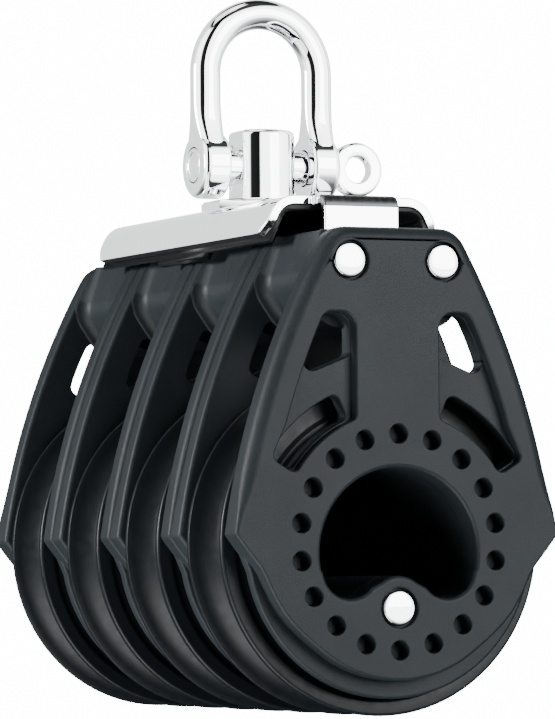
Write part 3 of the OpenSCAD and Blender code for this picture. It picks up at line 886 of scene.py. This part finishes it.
@dataclass
class SheaveWheel:
    """One grooved sheave on its ball bearing."""

    radius: float = 28.5
    half_w: float = 7.5
    bore_r: float = 19.7
    groove_w: float = 12.4
    groove_depth: float = 5.3
    dish: float = 0.6
    tip_r: float = 0.55
    steps: int = 144

    def profile(self) -> Loop:
        """Section of the sheave as (radius, along the axle)."""
        half = self.groove_w / 2
        groove_r = (half ** 2 + self.groove_depth ** 2) / (2 * self.groove_depth)
        centre = self.radius - self.groove_depth + groove_r
        reach = math.degrees(math.asin((half - 0.25) / groove_r))
        groove = [(centre - groove_r * math.cos(math.radians(a)), groove_r * math.sin(math.radians(a)))
                  for a in [reach * (1 - 2 * i / 24) for i in range(25)]]
        side = [
            (self.bore_r, self.half_w - 0.3), (self.bore_r + 0.3, self.half_w),
            (self.bore_r + 2.2, self.half_w), (self.bore_r + 2.45, self.half_w - 0.15),
            (self.bore_r + 2.9, self.half_w - self.dish + 0.1), (self.bore_r + 3.2, self.half_w - self.dish),
            (self.radius - 3.3, self.half_w - self.dish), (self.radius - 3.0, self.half_w - self.dish + 0.1),
            (self.radius - 2.5, self.half_w - 0.12), (self.radius - 2.2, self.half_w),
        ]
        tip = [(self.radius - self.tip_r + self.tip_r * math.sin(math.radians(a)),
                self.half_w - self.tip_r + self.tip_r * math.cos(math.radians(a))) for a in range(0, 91, 18)]
        lip = [(self.radius, half + 0.25), (self.radius - 0.08, half + 0.02)]
        right = side + tip + lip
        left = [(r, -y) for r, y in reversed(right)]
        return right + groove + left

    def build(self, bay: int) -> bpy.types.Object:
        """Makes the sheave of a bay, in place of the CAD one.

        Args:
            bay: number of the bay, from the front.

        Returns:
            The sheave.
        """
        shell = Shell()
        y = BAY_Y[bay]
        lathe(shell, self.profile(), lambda r, a, t: (r * math.cos(t), y + a, AXLE_Z + r * math.sin(t)), self.steps)
        piece = shell.build(f"sheave_{bay}_turned", [SHEAVE_NYLON], "sheave_nylon")
        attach(piece, f"sheave_set_{bay}")
        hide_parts(f"sheave_{bay}")
        return piece


@dataclass
class HeadPlate:
    """Bent stainless plate that ties the bays together, with a tab down into each end bay."""

    sheet_t: float = 1.6
    bend_w: float = 13.45
    skirt_out: float = 2.85
    skirt_down: float = 6.4
    bend_r: float = 4.9
    half_l: float = 37.8
    foot_cut: float = 2.2
    tab_w: float = 13.5
    tab_y: float = 40.95
    tab_bend_r: float = 2.0
    notch_r: float = 0.5
    tab_foot: float = 9.0

    def across(self) -> list[tuple[float, float, float]]:
        """Outer surface across the plate, as (x, z below the top, distance down the skirt)."""
        angle = math.atan2(self.skirt_down, self.skirt_out)
        cut = self.bend_r * math.tan(angle / 2)
        centre = (self.bend_w - cut, -self.bend_r)
        edge = self.tab_w / 2
        notch = 2 * self.notch_r
        xs = [0.0, edge * 0.35, edge * 0.7, edge - 0.3, edge]
        xs += [edge + notch * k for k in (0.02, 0.15, 0.32, 0.5, 0.68, 0.85, 0.98)]
        xs.append(centre[0])
        row = [(x, 0.0, 0.0) for x in sorted(set(xs)) if x <= centre[0]]
        for k in range(1, 9):
            a = angle * k / 8
            row.append((centre[0] + self.bend_r * math.sin(a), centre[1] + self.bend_r * math.cos(a), 0.0))
        start = row[-1]
        span = math.hypot(self.bend_w + self.skirt_out - start[0], self.skirt_down + start[1])
        for k in range(1, 11):
            d = span * k / 10
            row.append((start[0] + d * math.cos(angle), start[1] - d * math.sin(angle), d / span))
        return row

    def end_y(self, x: float, down: float) -> float:
        """Half length of the plate at a place across it."""
        edge = self.tab_w / 2
        if down > 0:
            return self.half_l - self.foot_cut * max((down - 0.35) / 0.65, 0) ** 1.25
        if edge < x < edge + 2 * self.notch_r:
            return self.half_l - math.sqrt(max(self.notch_r ** 2 - (x - edge - self.notch_r) ** 2, 0))
        return self.half_l

    def tab_path(self) -> list[tuple[float, float]]:
        """Outer surface of a tab beyond the plate's end, as (y, z below the top)."""
        bend = arc((self.tab_y + self.sheet_t / 2 - self.tab_bend_r, -self.tab_bend_r), self.tab_bend_r, 90, 0, 10)
        end = bend[-1]
        return bend + [(end[0], end[1] - self.tab_foot * k / 4) for k in range(1, 5)]

    def build(self) -> bpy.types.Object:
        """Makes the plate, thickened inwards from its outer surface, in place of the CAD one.

        Returns:
            The plate.
        """
        shell = Shell()
        half = self.across()
        row = [(-x, z, d) for x, z, d in reversed(half[1:])] + half
        rows = 26
        columns = []
        for x, z, down in row:
            end = self.end_y(abs(x), down)
            columns.append(shell.ring((x, end * (2 * k / rows - 1), AXLE_Z + HEAD_Z + z) for k in range(rows + 1)))
        for one, other in zip(columns, columns[1:]):
            shell.bridge(one, other, closed=False)
        in_tab = [i for i, (x, _, d) in enumerate(row) if abs(x) <= self.tab_w / 2 + 0.01 and d == 0]
        path = self.tab_path()
        for sign, last in ((-1, 0), (1, -1)):
            strips = []
            for i in in_tab:
                x = row[i][0]
                strips.append([columns[i][last]] + shell.ring((x, sign * y, AXLE_Z + HEAD_Z + z) for y, z in path))
            for one, other in zip(strips, strips[1:]):
                for k in range(len(one) - 1):
                    shell.faces.append([one[k], one[k + 1], other[k + 1], other[k]])
                    shell.marks.append(1 if 1 <= k <= 10 else 0)
        piece = shell.build("head_plate_bent", [STEEL, BEND_STEEL, SHEARED_STEEL], "polished_steel")
        self.thicken(piece)
        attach(piece, "block")
        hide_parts("head_plate")
        return piece

    def thicken(self, piece: bpy.types.Object) -> None:
        """Gives the surface its thickness and softens the cut edges."""
        self.turn_outwards(piece.data)
        solid = piece.modifiers.new("sheet thickness", "SOLIDIFY")
        solid.thickness = self.sheet_t * MM
        solid.offset = -1
        solid.use_even_offset = True
        edge = piece.modifiers.new("cut edges", "BEVEL")
        edge.width = 0.28 * MM
        edge.segments = 3
        edge.limit_method = "ANGLE"
        edge.angle_limit = math.radians(55)
        edge.harden_normals = False
        weighted = piece.modifiers.new("flat faces stay flat", "WEIGHTED_NORMAL")
        weighted.mode = "FACE_AREA"
        weighted.weight = 90
        graph = bpy.context.evaluated_depsgraph_get()
        piece.data = bpy.data.meshes.new_from_object(piece.evaluated_get(graph), depsgraph=graph)
        piece.modifiers.clear()
        foot_z = (AXLE_Z + HEAD_Z - self.skirt_down + 0.3) * MM
        for face in piece.data.polygons:
            if face.normal.z < -0.7 and face.center.z < foot_z:
                face.material_index = 2

    def lining(self, thick: float, show: float) -> Loop:
        """Section of a lining that lies against the plate's inner surface.

        Args:
            thick: thickness of the lining.
            show: how far it reaches below the skirts.

        Returns:
            The closed section.
        """
        angle = math.atan2(self.skirt_down, self.skirt_out)
        along = Vector((math.cos(angle), -math.sin(angle)))
        inward = Vector((along.y, -along.x))
        reach = math.hypot(self.skirt_out, self.skirt_down) + show
        right = []
        for sunk in (self.sheet_t + 0.05, self.sheet_t + thick):
            foot = Vector((self.bend_w, HEAD_Z)) + along * reach + inward * sunk
            corner = (self.bend_w - sunk * math.tan(angle / 2), HEAD_Z - sunk, self.bend_r - sunk)
            right.append([corner, (foot.x, foot.y, 0.2)])
        (outer, outer_foot), (inner, inner_foot) = right
        left = [(-x, z, r) for x, z, r in (inner, inner_foot, outer_foot, outer)]
        return rounded([outer, outer_foot, inner_foot, inner, *left])

    def build_saddle(self) -> bpy.types.Object:
        """Makes the doubler under the swivel, with the thin lining along the skirts, in place of the CAD one.

        Returns:
            The doubler.
        """
        shell = Shell()
        for half_l, thick, show in ((self.half_l - 0.4, 0.8, 0.75), (10.0, self.sheet_t, 1.7)):
            loop = self.lining(thick, show)
            rings = [shell.ring((x, y, z + AXLE_Z) for x, z in loop) for y in (-half_l, half_l)]
            shell.bridge(*rings)
            shell.fill(rings[0])
            shell.fill(rings[1])
        piece = shell.build("head_saddle_bent", [SADDLE_NYLON], "cheek_nylon")
        drill(piece, SwivelPost().clearance_cutter())
        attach(piece, "block")
        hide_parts("head_saddle")
        return piece

    @staticmethod
    def turn_outwards(mesh: bpy.types.Mesh) -> None:
        """Turns the sheet's faces so that the flat top faces up."""
        top = max(mesh.polygons, key=lambda face: face.area * abs(face.normal.z))
        if top.normal.z < 0:
            mesh.flip_normals()


@dataclass
class Shackle:
    """Bow with two ears, and the pin with its flat eye."""

    wire_r: float = 2.65
    reach: float = 24.05
    leg_x: float = 10.5
    ear_r: float = 5.8
    ear_x: float = 7.8
    ear_t: float = 5.1
    rim_r: float = 1.4
    pin_r: float = 3.0
    eye_r: float = 4.8
    eye_hole_r: float = 2.3
    eye_t: float = 2.5
    around: int = 56
    neck: tuple[tuple[float, float, float], ...] = (
        (3.3, 4.68, 2.42), (3.8, 4.48, 2.46), (4.4, 4.22, 2.5), (5.0, 3.95, 2.53), (5.6, 3.7, 2.56),
        (6.3, 3.42, 2.59), (7.0, 3.18, 2.61), (7.8, 2.95, 2.63), (8.6, 2.79, 2.65), (9.6, 2.69, 2.65),
        (10.8, 2.65, 2.65),
    )

    def section(self, centre_x: float, half_x: float, half_y: float, power: float) -> list[Point]:
        """Super-ellipse of a leg's section, as (x, y)."""
        points = []
        for k in range(self.around):
            a = 2 * math.pi * k / self.around
            c, s = math.cos(a), math.sin(a)
            points.append((centre_x + half_x * math.copysign(abs(c) ** (2 / power), c),
                           half_y * math.copysign(abs(s) ** (2 / power), s)))
        return points

    def ear(self, shell: Shell, sign: float) -> None:
        """Adds one ear: a flat disc with a rounded rim and the pin's hole.

        Args:
            shell: the shell to add to.
            sign: -1 for the left ear and 1 for the right.
        """
        inner, outer = self.ear_x, self.ear_x + self.ear_t
        soft = self.rim_r / 2
        hole = self.pin_r + 0.1
        near = arc((self.ear_r - soft, inner + soft), soft, -90, 0, 5)
        far = arc((self.ear_r - self.rim_r, outer - self.rim_r), self.rim_r, 0, 90, 8)
        profile = [(hole, inner + 0.3), (hole + 0.3, inner), *near, *far, (hole + 0.15, outer), (hole, outer - 0.15)]
        lathe(shell, profile, lambda r, a, t: (sign * a, r * math.cos(t), PIN_Z + r * math.sin(t)), 72)

    def leg_rings(self, shell: Shell, sign: float) -> list[list[int]]:
        """Rings of one leg from inside its ear up to the crown.

        Args:
            shell: the shell to add to.
            sign: -1 for the left leg and 1 for the right.

        Returns:
            The rings' numbers, from the bottom up.
        """
        rings = []
        ear_mid = self.ear_x + self.ear_t / 2
        crown_z = self.reach - self.leg_x + self.wire_r
        low, high = self.neck[0][0], self.neck[-1][0]
        for z, half_y, half_x in (*self.neck, (crown_z, self.wire_r, self.wire_r)):
            ease = min((z - low) / (high - low), 1.0)
            mid = ear_mid + (self.leg_x - ear_mid) * ease
            power = 3.4 - 1.4 * ease ** 0.6
            rings.append(shell.ring((sign * x, y, PIN_Z + z) for x, y in self.section(mid, half_x, half_y, power)))
        return rings

    def build_bow(self) -> bpy.types.Object:
        """Makes the bow in place of the CAD one.

        Returns:
            The bow.
        """
        shell = Shell()
        right = self.leg_rings(shell, 1)
        left = self.leg_rings(shell, -1)
        crown_z = self.reach - self.leg_x + self.wire_r
        crown = []
        for k in range(1, 48):
            a = math.pi * k / 48
            ring = []
            for x, y in self.section(self.leg_x, self.wire_r, self.wire_r, 2):
                ring.append((x * math.cos(a), y, PIN_Z + crown_z + x * math.sin(a)))
            crown.append(shell.ring(ring))
        rings = right + crown + list(reversed(left))
        for one, other in zip(rings, rings[1:]):
            shell.bridge(one, other)
        shell.fill(rings[0])
        shell.fill(rings[-1])
        self.ear(shell, 1)
        self.ear(shell, -1)
        piece = shell.build("shackle_bow_forged", [STEEL], "polished_steel")
        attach(piece, "shackle")
        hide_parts("shackle_bow")
        return piece

    def cutter(self, name: str, radius: float, reach: float) -> bpy.types.Object:
        """A plain rod along X through the pin's axis, for cutting."""
        shell = Shell()
        rings = [shell.ring((x, radius * math.cos(t), PIN_Z + radius * math.sin(t))
                            for t in [2 * math.pi * k / 48 for k in range(48)]) for x in (-reach, reach)]
        shell.bridge(*rings)
        shell.fill(rings[0])
        shell.fill(rings[1])
        return shell.build(name, [STEEL], "polished_steel")

    def build_pin(self) -> bpy.types.Object:
        """Makes the pin with its eye in place of the CAD one.

        Returns:
            The pin.
        """
        shell = Shell()
        end = self.ear_x + self.ear_t
        eye_x = end + self.eye_r + 0.2

        def along_x(r: float, a: float, t: float) -> Point3:
            """A point of the pin's shank."""
            return (a, r * math.cos(t), PIN_Z + r * math.sin(t))

        shank = [(0.02, -end + 0.05), (1.9, -end + 0.05), (2.05, -end + 0.25), (2.25, -end + 0.25),
                 (2.4, -end), (2.85, -end), (self.pin_r, -end + 0.2), (self.pin_r, end - 0.4),
                 (2.7, end + 0.05), (1.6, end + 0.5), (1.25, end + 1.1), (1.2, end + 1.9), (0.02, end + 2.0)]
        lathe(shell, shank, along_x, 64, closed=False)
        half = self.eye_t / 2
        soft = 0.75
        eye: Loop = []
        for k in range(0, 7):
            a = math.radians(90 * k / 6)
            eye.append((self.eye_r - soft + soft * math.sin(a), half - soft + soft * math.cos(a)))
        outer = eye + [(r, -y) for r, y in reversed(eye)]
        lip = 0.3
        inner = [(self.eye_hole_r + lip, -half), (self.eye_hole_r, -half + lip),
                 (self.eye_hole_r, half - lip), (self.eye_hole_r + lip, half)]
        lathe(shell, outer + inner, lambda r, a, t: (eye_x + r * math.cos(t), a, PIN_Z + r * math.sin(t)), 72)
        piece = shell.build("shackle_pin_eyed", [STEEL], "polished_steel")
        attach(piece, "shackle")
        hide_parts("shackle_pin")
        return piece


def drill(piece: bpy.types.Object, cutter: bpy.types.Object) -> None:
    """Cuts one object out of another, applies the cut and removes the cutter.

    Args:
        piece: the object to cut.
        cutter: the object to take away.
    """
    cut = piece.modifiers.new("drilled", "BOOLEAN")
    cut.operation = "DIFFERENCE"
    cut.solver = "EXACT"
    cut.use_self = True
    cut.object = cutter
    piece.modifiers.move(len(piece.modifiers) - 1, 0)
    graph = bpy.context.evaluated_depsgraph_get()
    kept = [m for m in piece.modifiers if m.name != "drilled"]
    for modifier in kept:
        modifier.show_viewport = False
    graph.update()
    result = bpy.data.meshes.new_from_object(piece.evaluated_get(graph), depsgraph=graph)
    for modifier in kept:
        modifier.show_viewport = True
    piece.modifiers.remove(piece.modifiers["drilled"])
    piece.data = result
    bpy.data.objects.remove(cutter, do_unlink=True)


@dataclass
class SwivelPost:
    """Round post with two flats, domed on top, over its eight-sided base."""

    radius: float = 5.8
    flat_x: float = 4.9
    top: float = 6.3
    dome: float = 0.3
    soft: float = 1.1
    base_z: float = 1.8
    shank_r: float = 3.5
    shank_z: float = -5.5
    pin_hole_r: float = 3.05

    def plan(self, inset: float) -> Loop:
        """Plan of the post, moved inwards: two arcs and two flats with soft corners."""
        r, f = self.radius - inset, self.flat_x - inset
        reach = math.degrees(math.acos(f / r))
        front = arc((0, 0), r, reach, 180 - reach, 22)
        back = arc((0, 0), r, 180 + reach, 360 - reach, 22)
        corner = 0.35
        loop = [(*front[0], corner), *front[1:-1], (*front[-1], corner)]
        loop += [(*back[0], corner), *back[1:-1], (*back[-1], corner)]
        return rounded(loop, steps=3)

    def clearance_cutter(self) -> bpy.types.Object:
        """An upright rod for the hole that the shank turns in."""
        shell = Shell()
        rings = [shell.ring((x, y, AXLE_Z + HEAD_Z + z) for x, y in circle((0, 0), self.shank_r + 0.05, 48))
                 for z in (-8.0, 4.0)]
        shell.bridge(*rings)
        shell.fill(rings[0])
        shell.fill(rings[1])
        return shell.build("shank_hole", [STEEL], "polished_steel")

    def build(self) -> bpy.types.Object:
        """Makes the post in place of the CAD one.

        Returns:
            The post.
        """
        shell = Shell()
        base = AXLE_Z + HEAD_Z + self.base_z
        top = PIN_Z + self.top
        rings = [shell.ring((x, y, base) for x, y in self.plan(0.25))]
        rings.append(shell.ring((x, y, base + 0.25) for x, y in self.plan(0)))
        rings.append(shell.ring((x, y, top - self.soft) for x, y in self.plan(0)))
        for k in range(1, 7):
            a = math.radians(15 * k)
            rings.append(shell.ring((x, y, top - self.soft + self.soft * math.sin(a))
                                    for x, y in self.plan(self.soft * (1 - math.cos(a)))))
        for inset in (2.2, 3.2, 4.2):
            rise = self.dome * (inset - self.soft) / (4.6 - self.soft)
            rings.append(shell.ring((x, y, top + rise) for x, y in self.plan(inset)))
        for one, other in zip(rings, rings[1:]):
            shell.bridge(one, other)
        shell.fill(rings[0])
        shell.fill(rings[-1])
        floor = AXLE_Z + HEAD_Z + self.shank_z
        shank = [(0.02, floor), (self.shank_r - 0.3, floor), (self.shank_r, floor + 0.3), (self.shank_r, base + 0.2),
                 (0.02, base + 0.2)]
        lathe(shell, shank, lambda r, a, t: (r * math.cos(t), r * math.sin(t), a), 48, closed=False)
        piece = shell.build("swivel_post_turned", [STEEL], "polished_steel")
        cutter = Shackle().cutter("post_hole", self.pin_hole_r, 8.0)
        drill(piece, cutter)
        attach(piece, "swivel")
        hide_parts("swivel_post")
        return piece


@dataclass
class SwivelBase:
    """Eight-sided base under the post, bevelled on top and hollow over its washer."""

    corner_r: float = 10.5
    low: float = 0.12
    high: float = 1.85
    bevel: float = 0.5
    recess: Point = (9.75, 0.42)
    hole_r: float = 3.55

    def octagon(self, radius: float, z: float) -> list[Point3]:
        """Corners of the base at a height above the head plate."""
        angles = [math.radians(22.5 + 45 * k) for k in range(8)]
        return [(radius * math.cos(a), radius * math.sin(a), AXLE_Z + HEAD_Z + z) for a in angles]

    def build(self) -> bpy.types.Object:
        """Makes the base in place of the CAD one.

        Returns:
            The base.
        """
        shell = Shell()
        recess_r, recess_z = self.recess
        heights = ((recess_r, recess_z), (recess_r, self.low), (self.corner_r - 0.15, self.low),
                   (self.corner_r, self.low + 0.15), (self.corner_r, self.high - self.bevel),
                   (self.corner_r - self.bevel, self.high))
        rings = [shell.ring(self.octagon(radius, z)) for radius, z in heights]
        for one, other in zip(rings, rings[1:]):
            shell.bridge(one, other)
        hole = [shell.ring((x, y, AXLE_Z + HEAD_Z + z) for x, y in circle((0, 0), self.hole_r, 32))
                for z in (recess_z, self.high)]
        shell.bridge(*hole)
        shell.fill(rings[0], [hole[0]])
        shell.fill(rings[-1], [hole[1]])
        piece = shell.build("swivel_base_cut", [STEEL], "polished_steel")
        for face in piece.data.polygons:
            face.use_smooth = False
        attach(piece, "swivel")
        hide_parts("swivel_base")
        return piece


@dataclass
class Rivet:
    """Headed rivet through all the bays."""

    spot: Point
    shank_r: float = 2.0
    head_r: float = 2.9
    head_t: float = 1.2
    total_half: float = 55.6

    def build(self, name: str, node: str) -> bpy.types.Object:
        """Makes the rivet in place of the CAD one.

        Args:
            name: the piece's name.
            node: the CAD node that it stands for.

        Returns:
            The rivet.
        """
        shell = Shell()
        x0, z0 = self.spot
        h = self.total_half
        head = [(0.02, h), (1.0, h - 0.01), (1.9, h - 0.05), (2.45, h - 0.13), (2.72, h - 0.26),
                (self.head_r - 0.02, h - 0.5), (self.head_r, h - 0.75), (self.head_r, h - self.head_t),
                (self.shank_r, h - self.head_t)]
        profile = head + [(r, -y) for r, y in reversed(head)]
        lathe(shell, profile, lambda r, a, t: (x0 + r * math.cos(t), a, AXLE_Z + z0 + r * math.sin(t)), 56,
              closed=False)
        piece = shell.build(name, [RIVET_STEEL], "rivet_steel")
        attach(piece, "block")
        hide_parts(node)
        return piece


@dataclass(frozen=True)
class Lamp:
    """A soft square lamp that faces the block."""

    name: str
    place: Point3
    size: float
    power: float
    only_gloss: bool = False

    def build(self) -> None:
        """Hangs the lamp in the studio, out of the camera's sight."""
        data = bpy.data.lights.new(self.name, "AREA")
        data.size = self.size
        data.energy = self.power
        lamp = bpy.data.objects.new(self.name, data)
        lamp.location = self.place
        aim = Vector((0, 0, -0.06)) - Vector(self.place)
        lamp.rotation_euler = aim.to_track_quat("-Z", "Y").to_euler()
        lamp.visible_camera = False
        lamp.visible_diffuse = not self.only_gloss
        bpy.context.scene.collection.objects.link(lamp)


@dataclass
class Surroundings:
    """White surroundings with dark bands that only a mirror finish shows.

    Each stop of a band list is (angle in degrees, brightness). Azimuth 0 lies in front of the near cheek
    and 90 to its right. Rough surfaces see a dim, even grey instead, so that the nylon stays dark.
    """

    backdrop: float = 16.0
    mirrored_light: float = 7.0
    dim: float = 0.006
    round_about: tuple[Point, ...] = (
        (-180, 0.27), (-150, 0.27), (-122, 0.30), (-104, 0.75), (-68, 0.9), (-60, 0.004), (-29, 0.002),
        (-25, 0.95), (20, 1.0), (66, 0.9), (83, 0.8), (86, 0.01), (91, 0.01), (94, 0.7), (108, 0.6),
        (110, 0.02), (114, 0.02), (117, 0.4), (150, 0.30), (180, 0.27),
    )
    up_and_down: tuple[Point, ...] = (
        (-90, 0.02), (-50, 0.03), (-30, 0.2), (-14, 1.0), (40, 1.0), (52, 0.8), (57, 0.01), (80, 0.01), (84, 0.6),
        (90, 0.6),
    )

    def build(self) -> None:
        """Makes the world."""
        world = bpy.data.worlds.new("studio")
        world.use_nodes = True
        self.tree = world.node_tree
        path = self.tree.nodes.new("ShaderNodeLightPath")
        camera, mirror = path.outputs["Is Camera Ray"], path.outputs["Is Singular Ray"]
        shown = self.sum("MULTIPLY", camera, self.backdrop)
        bands = self.sum("MULTIPLY", self.bands(), self.mirrored_light)
        mirrored_part = self.sum("MULTIPLY", bands, mirror)
        rest = self.sum("SUBTRACT", 1.0, self.sum("MAXIMUM", camera, mirror))
        total = self.sum("ADD", self.sum("ADD", shown, mirrored_part), self.sum("MULTIPLY", rest, self.dim))
        background = self.tree.nodes["Background"]
        background.inputs["Color"].default_value = (0.97, 0.985, 1.0, 1)
        self.tree.links.new(total, background.inputs["Strength"])
        bpy.context.scene.world = world

    def sum(self, operation: str, *values: bpy.types.NodeSocket | float) -> bpy.types.NodeSocket:
        """Adds a math node on sockets or plain numbers.

        Args:
            operation: the math node's operation.
            values: its inputs, in order.

        Returns:
            The result's socket.
        """
        node = self.tree.nodes.new("ShaderNodeMath")
        node.operation = operation
        for socket, value in zip(node.inputs, values):
            if isinstance(value, (int, float)):
                socket.default_value = value
            else:
                self.tree.links.new(value, socket)
        return node.outputs["Value"]

    def ramp(self, angle: bpy.types.NodeSocket, low: float, high: float,
             stops: Sequence[Point]) -> bpy.types.NodeSocket:
        """Brightness along an angle.

        Args:
            angle: the angle in radians.
            low: the angle in degrees at the ramp's start.
            high: the angle in degrees at its end.
            stops: (angle in degrees, brightness), in rising order.

        Returns:
            The brightness socket.
        """
        place = self.tree.nodes.new("ShaderNodeMapRange")
        place.inputs["From Min"].default_value = math.radians(low)
        place.inputs["From Max"].default_value = math.radians(high)
        self.tree.links.new(angle, place.inputs["Value"])
        node = self.tree.nodes.new("ShaderNodeValToRGB")
        elements = node.color_ramp.elements
        elements.remove(elements[1])
        for i, (degrees, level) in enumerate(stops):
            at = (degrees - low) / (high - low)
            element = elements[0] if i == 0 else elements.new(at)
            element.position = at
            element.color = (level, level, level, 1)
        self.tree.links.new(place.outputs["Result"], node.inputs["Fac"])
        return node.outputs["Color"]

    def bands(self) -> bpy.types.NodeSocket:
        """Brightness of the mirrored surroundings in every direction."""
        place = self.tree.nodes.new("ShaderNodeTexCoord")
        split = self.tree.nodes.new("ShaderNodeSeparateXYZ")
        self.tree.links.new(place.outputs["Generated"], split.inputs["Vector"])
        x, y, z = (split.outputs[axis] for axis in "XYZ")
        azimuth = self.sum("ARCTAN2", x, self.sum("MULTIPLY", y, -1.0))
        elevation = self.sum("ARCSINE", z)
        return self.sum("MULTIPLY", self.ramp(azimuth, -180, 180, self.round_about),
                        self.ramp(elevation, -90, 90, self.up_and_down))


@dataclass
class Studio:
    """Pale floor, white backdrop, soft lamps, and the camera at the photograph's angle."""

    eye: Point3 = (-340.1, -784.0, -97.3)
    look: Point3 = (0.40028, 0.91521, 0.04652)
    roll: float = -0.38
    lens: float = 246.9
    floor_z: float = -190.0
    floor_half: float = 900.0
    lamps: tuple[Lamp, ...] = (
        Lamp("face_key", (0.50, -1.15, 0.30), 0.8, 10.0),
        Lamp("left_strip", (-0.98, 0.33, 0.10), 0.28, 8.5),
        Lamp("floor_bounce", (-0.60, -0.35, -0.80), 0.9, 8.0),
        Lamp("top_soft", (-0.25, 0.10, 1.2), 0.7, 4.0),
        Lamp("back_soft", (0.7, 1.0, 0.5), 0.8, 5.0),
    )

    def build(self) -> None:
        """Makes the camera, the surroundings, the floor and the lamps."""
        self.camera()
        Surroundings().build()
        self.floor()
        for lamp in self.lamps:
            lamp.build()

    def camera(self) -> None:
        """Adds the camera at the photograph's viewing angle."""
        data = bpy.data.cameras.new("camera")
        data.lens = self.lens
        data.sensor_width = 36.0
        data.clip_start = 0.05
        data.clip_end = 20
        camera = bpy.data.objects.new("camera", data)
        camera.location = [c * MM for c in self.eye]
        camera.rotation_euler = Vector(self.look).to_track_quat("-Z", "Y").to_euler()
        camera.rotation_euler.rotate_axis("Z", math.radians(self.roll))
        bpy.context.scene.collection.objects.link(camera)
        bpy.context.scene.camera = camera

    def floor(self) -> None:
        """Adds a pale floor well below the hanging block."""
        half, low = self.floor_half * MM, self.floor_z * MM
        mesh = bpy.data.meshes.new("floor")
        mesh.from_pydata([(-half, -half, low), (half, -half, low), (half, half, low), (-half, half, low)], [],
                         [[0, 1, 2, 3]])
        pale = bpy.data.materials.new("pale_floor")
        pale.use_nodes = True
        shader = pale.node_tree.nodes["Principled BSDF"]
        shader.inputs["Base Color"].default_value = (*Tone.FLOOR.value, 1)
        shader.inputs["Roughness"].default_value = 0.9
        shader.inputs["Emission Color"].default_value = (*Tone.FLOOR.value, 1)
        shader.inputs["Emission Strength"].default_value = 4.0
        mesh.materials.append(pale)
        floor = bpy.data.objects.new("floor", mesh)
        floor.visible_glossy = False
        floor.visible_diffuse = False
        floor.visible_shadow = False
        bpy.context.scene.collection.objects.link(floor)


def dress(node: str, finish: Finish) -> None:
    """Gives a CAD node its finish.

    Args:
        node: name of the CAD node.
        finish: the finish for all of its slots.
    """
    piece = frame["nodes"][node]
    material = finish.material()
    if not piece.material_slots:
        piece.data.materials.append(material)
    for slot in piece.material_slots:
        slot.material = material


def build_cheeks() -> list[bpy.types.Object]:
    """Makes the eight cheeks in place of the CAD ones."""
    mould = CheekMould()
    made = []
    for bay in BAYS:
        for side, word in ((Side.FRONT, "front"), (Side.BACK, "back")):
            outer = (bay, side) in ((BAYS[0], Side.FRONT), (BAYS[-1], Side.BACK))
            piece = mould.build(f"cheek_{bay}_{word}_moulded", bay, side, outer)
            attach(piece, "block")
            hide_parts(f"cheek_{bay}_{word}")
            made.append(piece)
    return made


def main() -> None:
    """Builds the studio and every piece in order, and reports each piece."""
    logging.basicConfig(level=logging.INFO, format="%(message)s")
    Studio().build()
    pieces = build_cheeks()
    pieces += [SheaveWheel().build(bay) for bay in BAYS]
    pieces.append(HeadPlate().build())
    pieces.append(HeadPlate().build_saddle())
    pieces.append(Shackle().build_bow())
    pieces.append(Shackle().build_pin())
    pieces.append(SwivelPost().build())
    pieces.append(SwivelBase().build())
    mould = CheekMould()
    for name, spot in (
        ("rivet_left", (-mould.rivet[0], mould.rivet[1])),
        ("rivet_right", mould.rivet),
        ("rivet_hub", (0.0, mould.hub_rivet[1])),
    ):
        pieces.append(Rivet(spot).build(f"{name}_headed", name))
    for node, finish in (
        *((f"hub_{bay}", CHEEK_NYLON) for bay in BAYS),
        *((f"balls_{bay}", ACETAL) for bay in BAYS),
        ("swivel_washer", ACETAL),
        ("post_nut", STEEL),
    ):
        dress(node, finish)
    for piece in pieces:
        LOG.info("%s: %d faces on %s", piece.name, len(piece.data.polygons), body_of(piece))


if __name__ == "__main__":
    main()
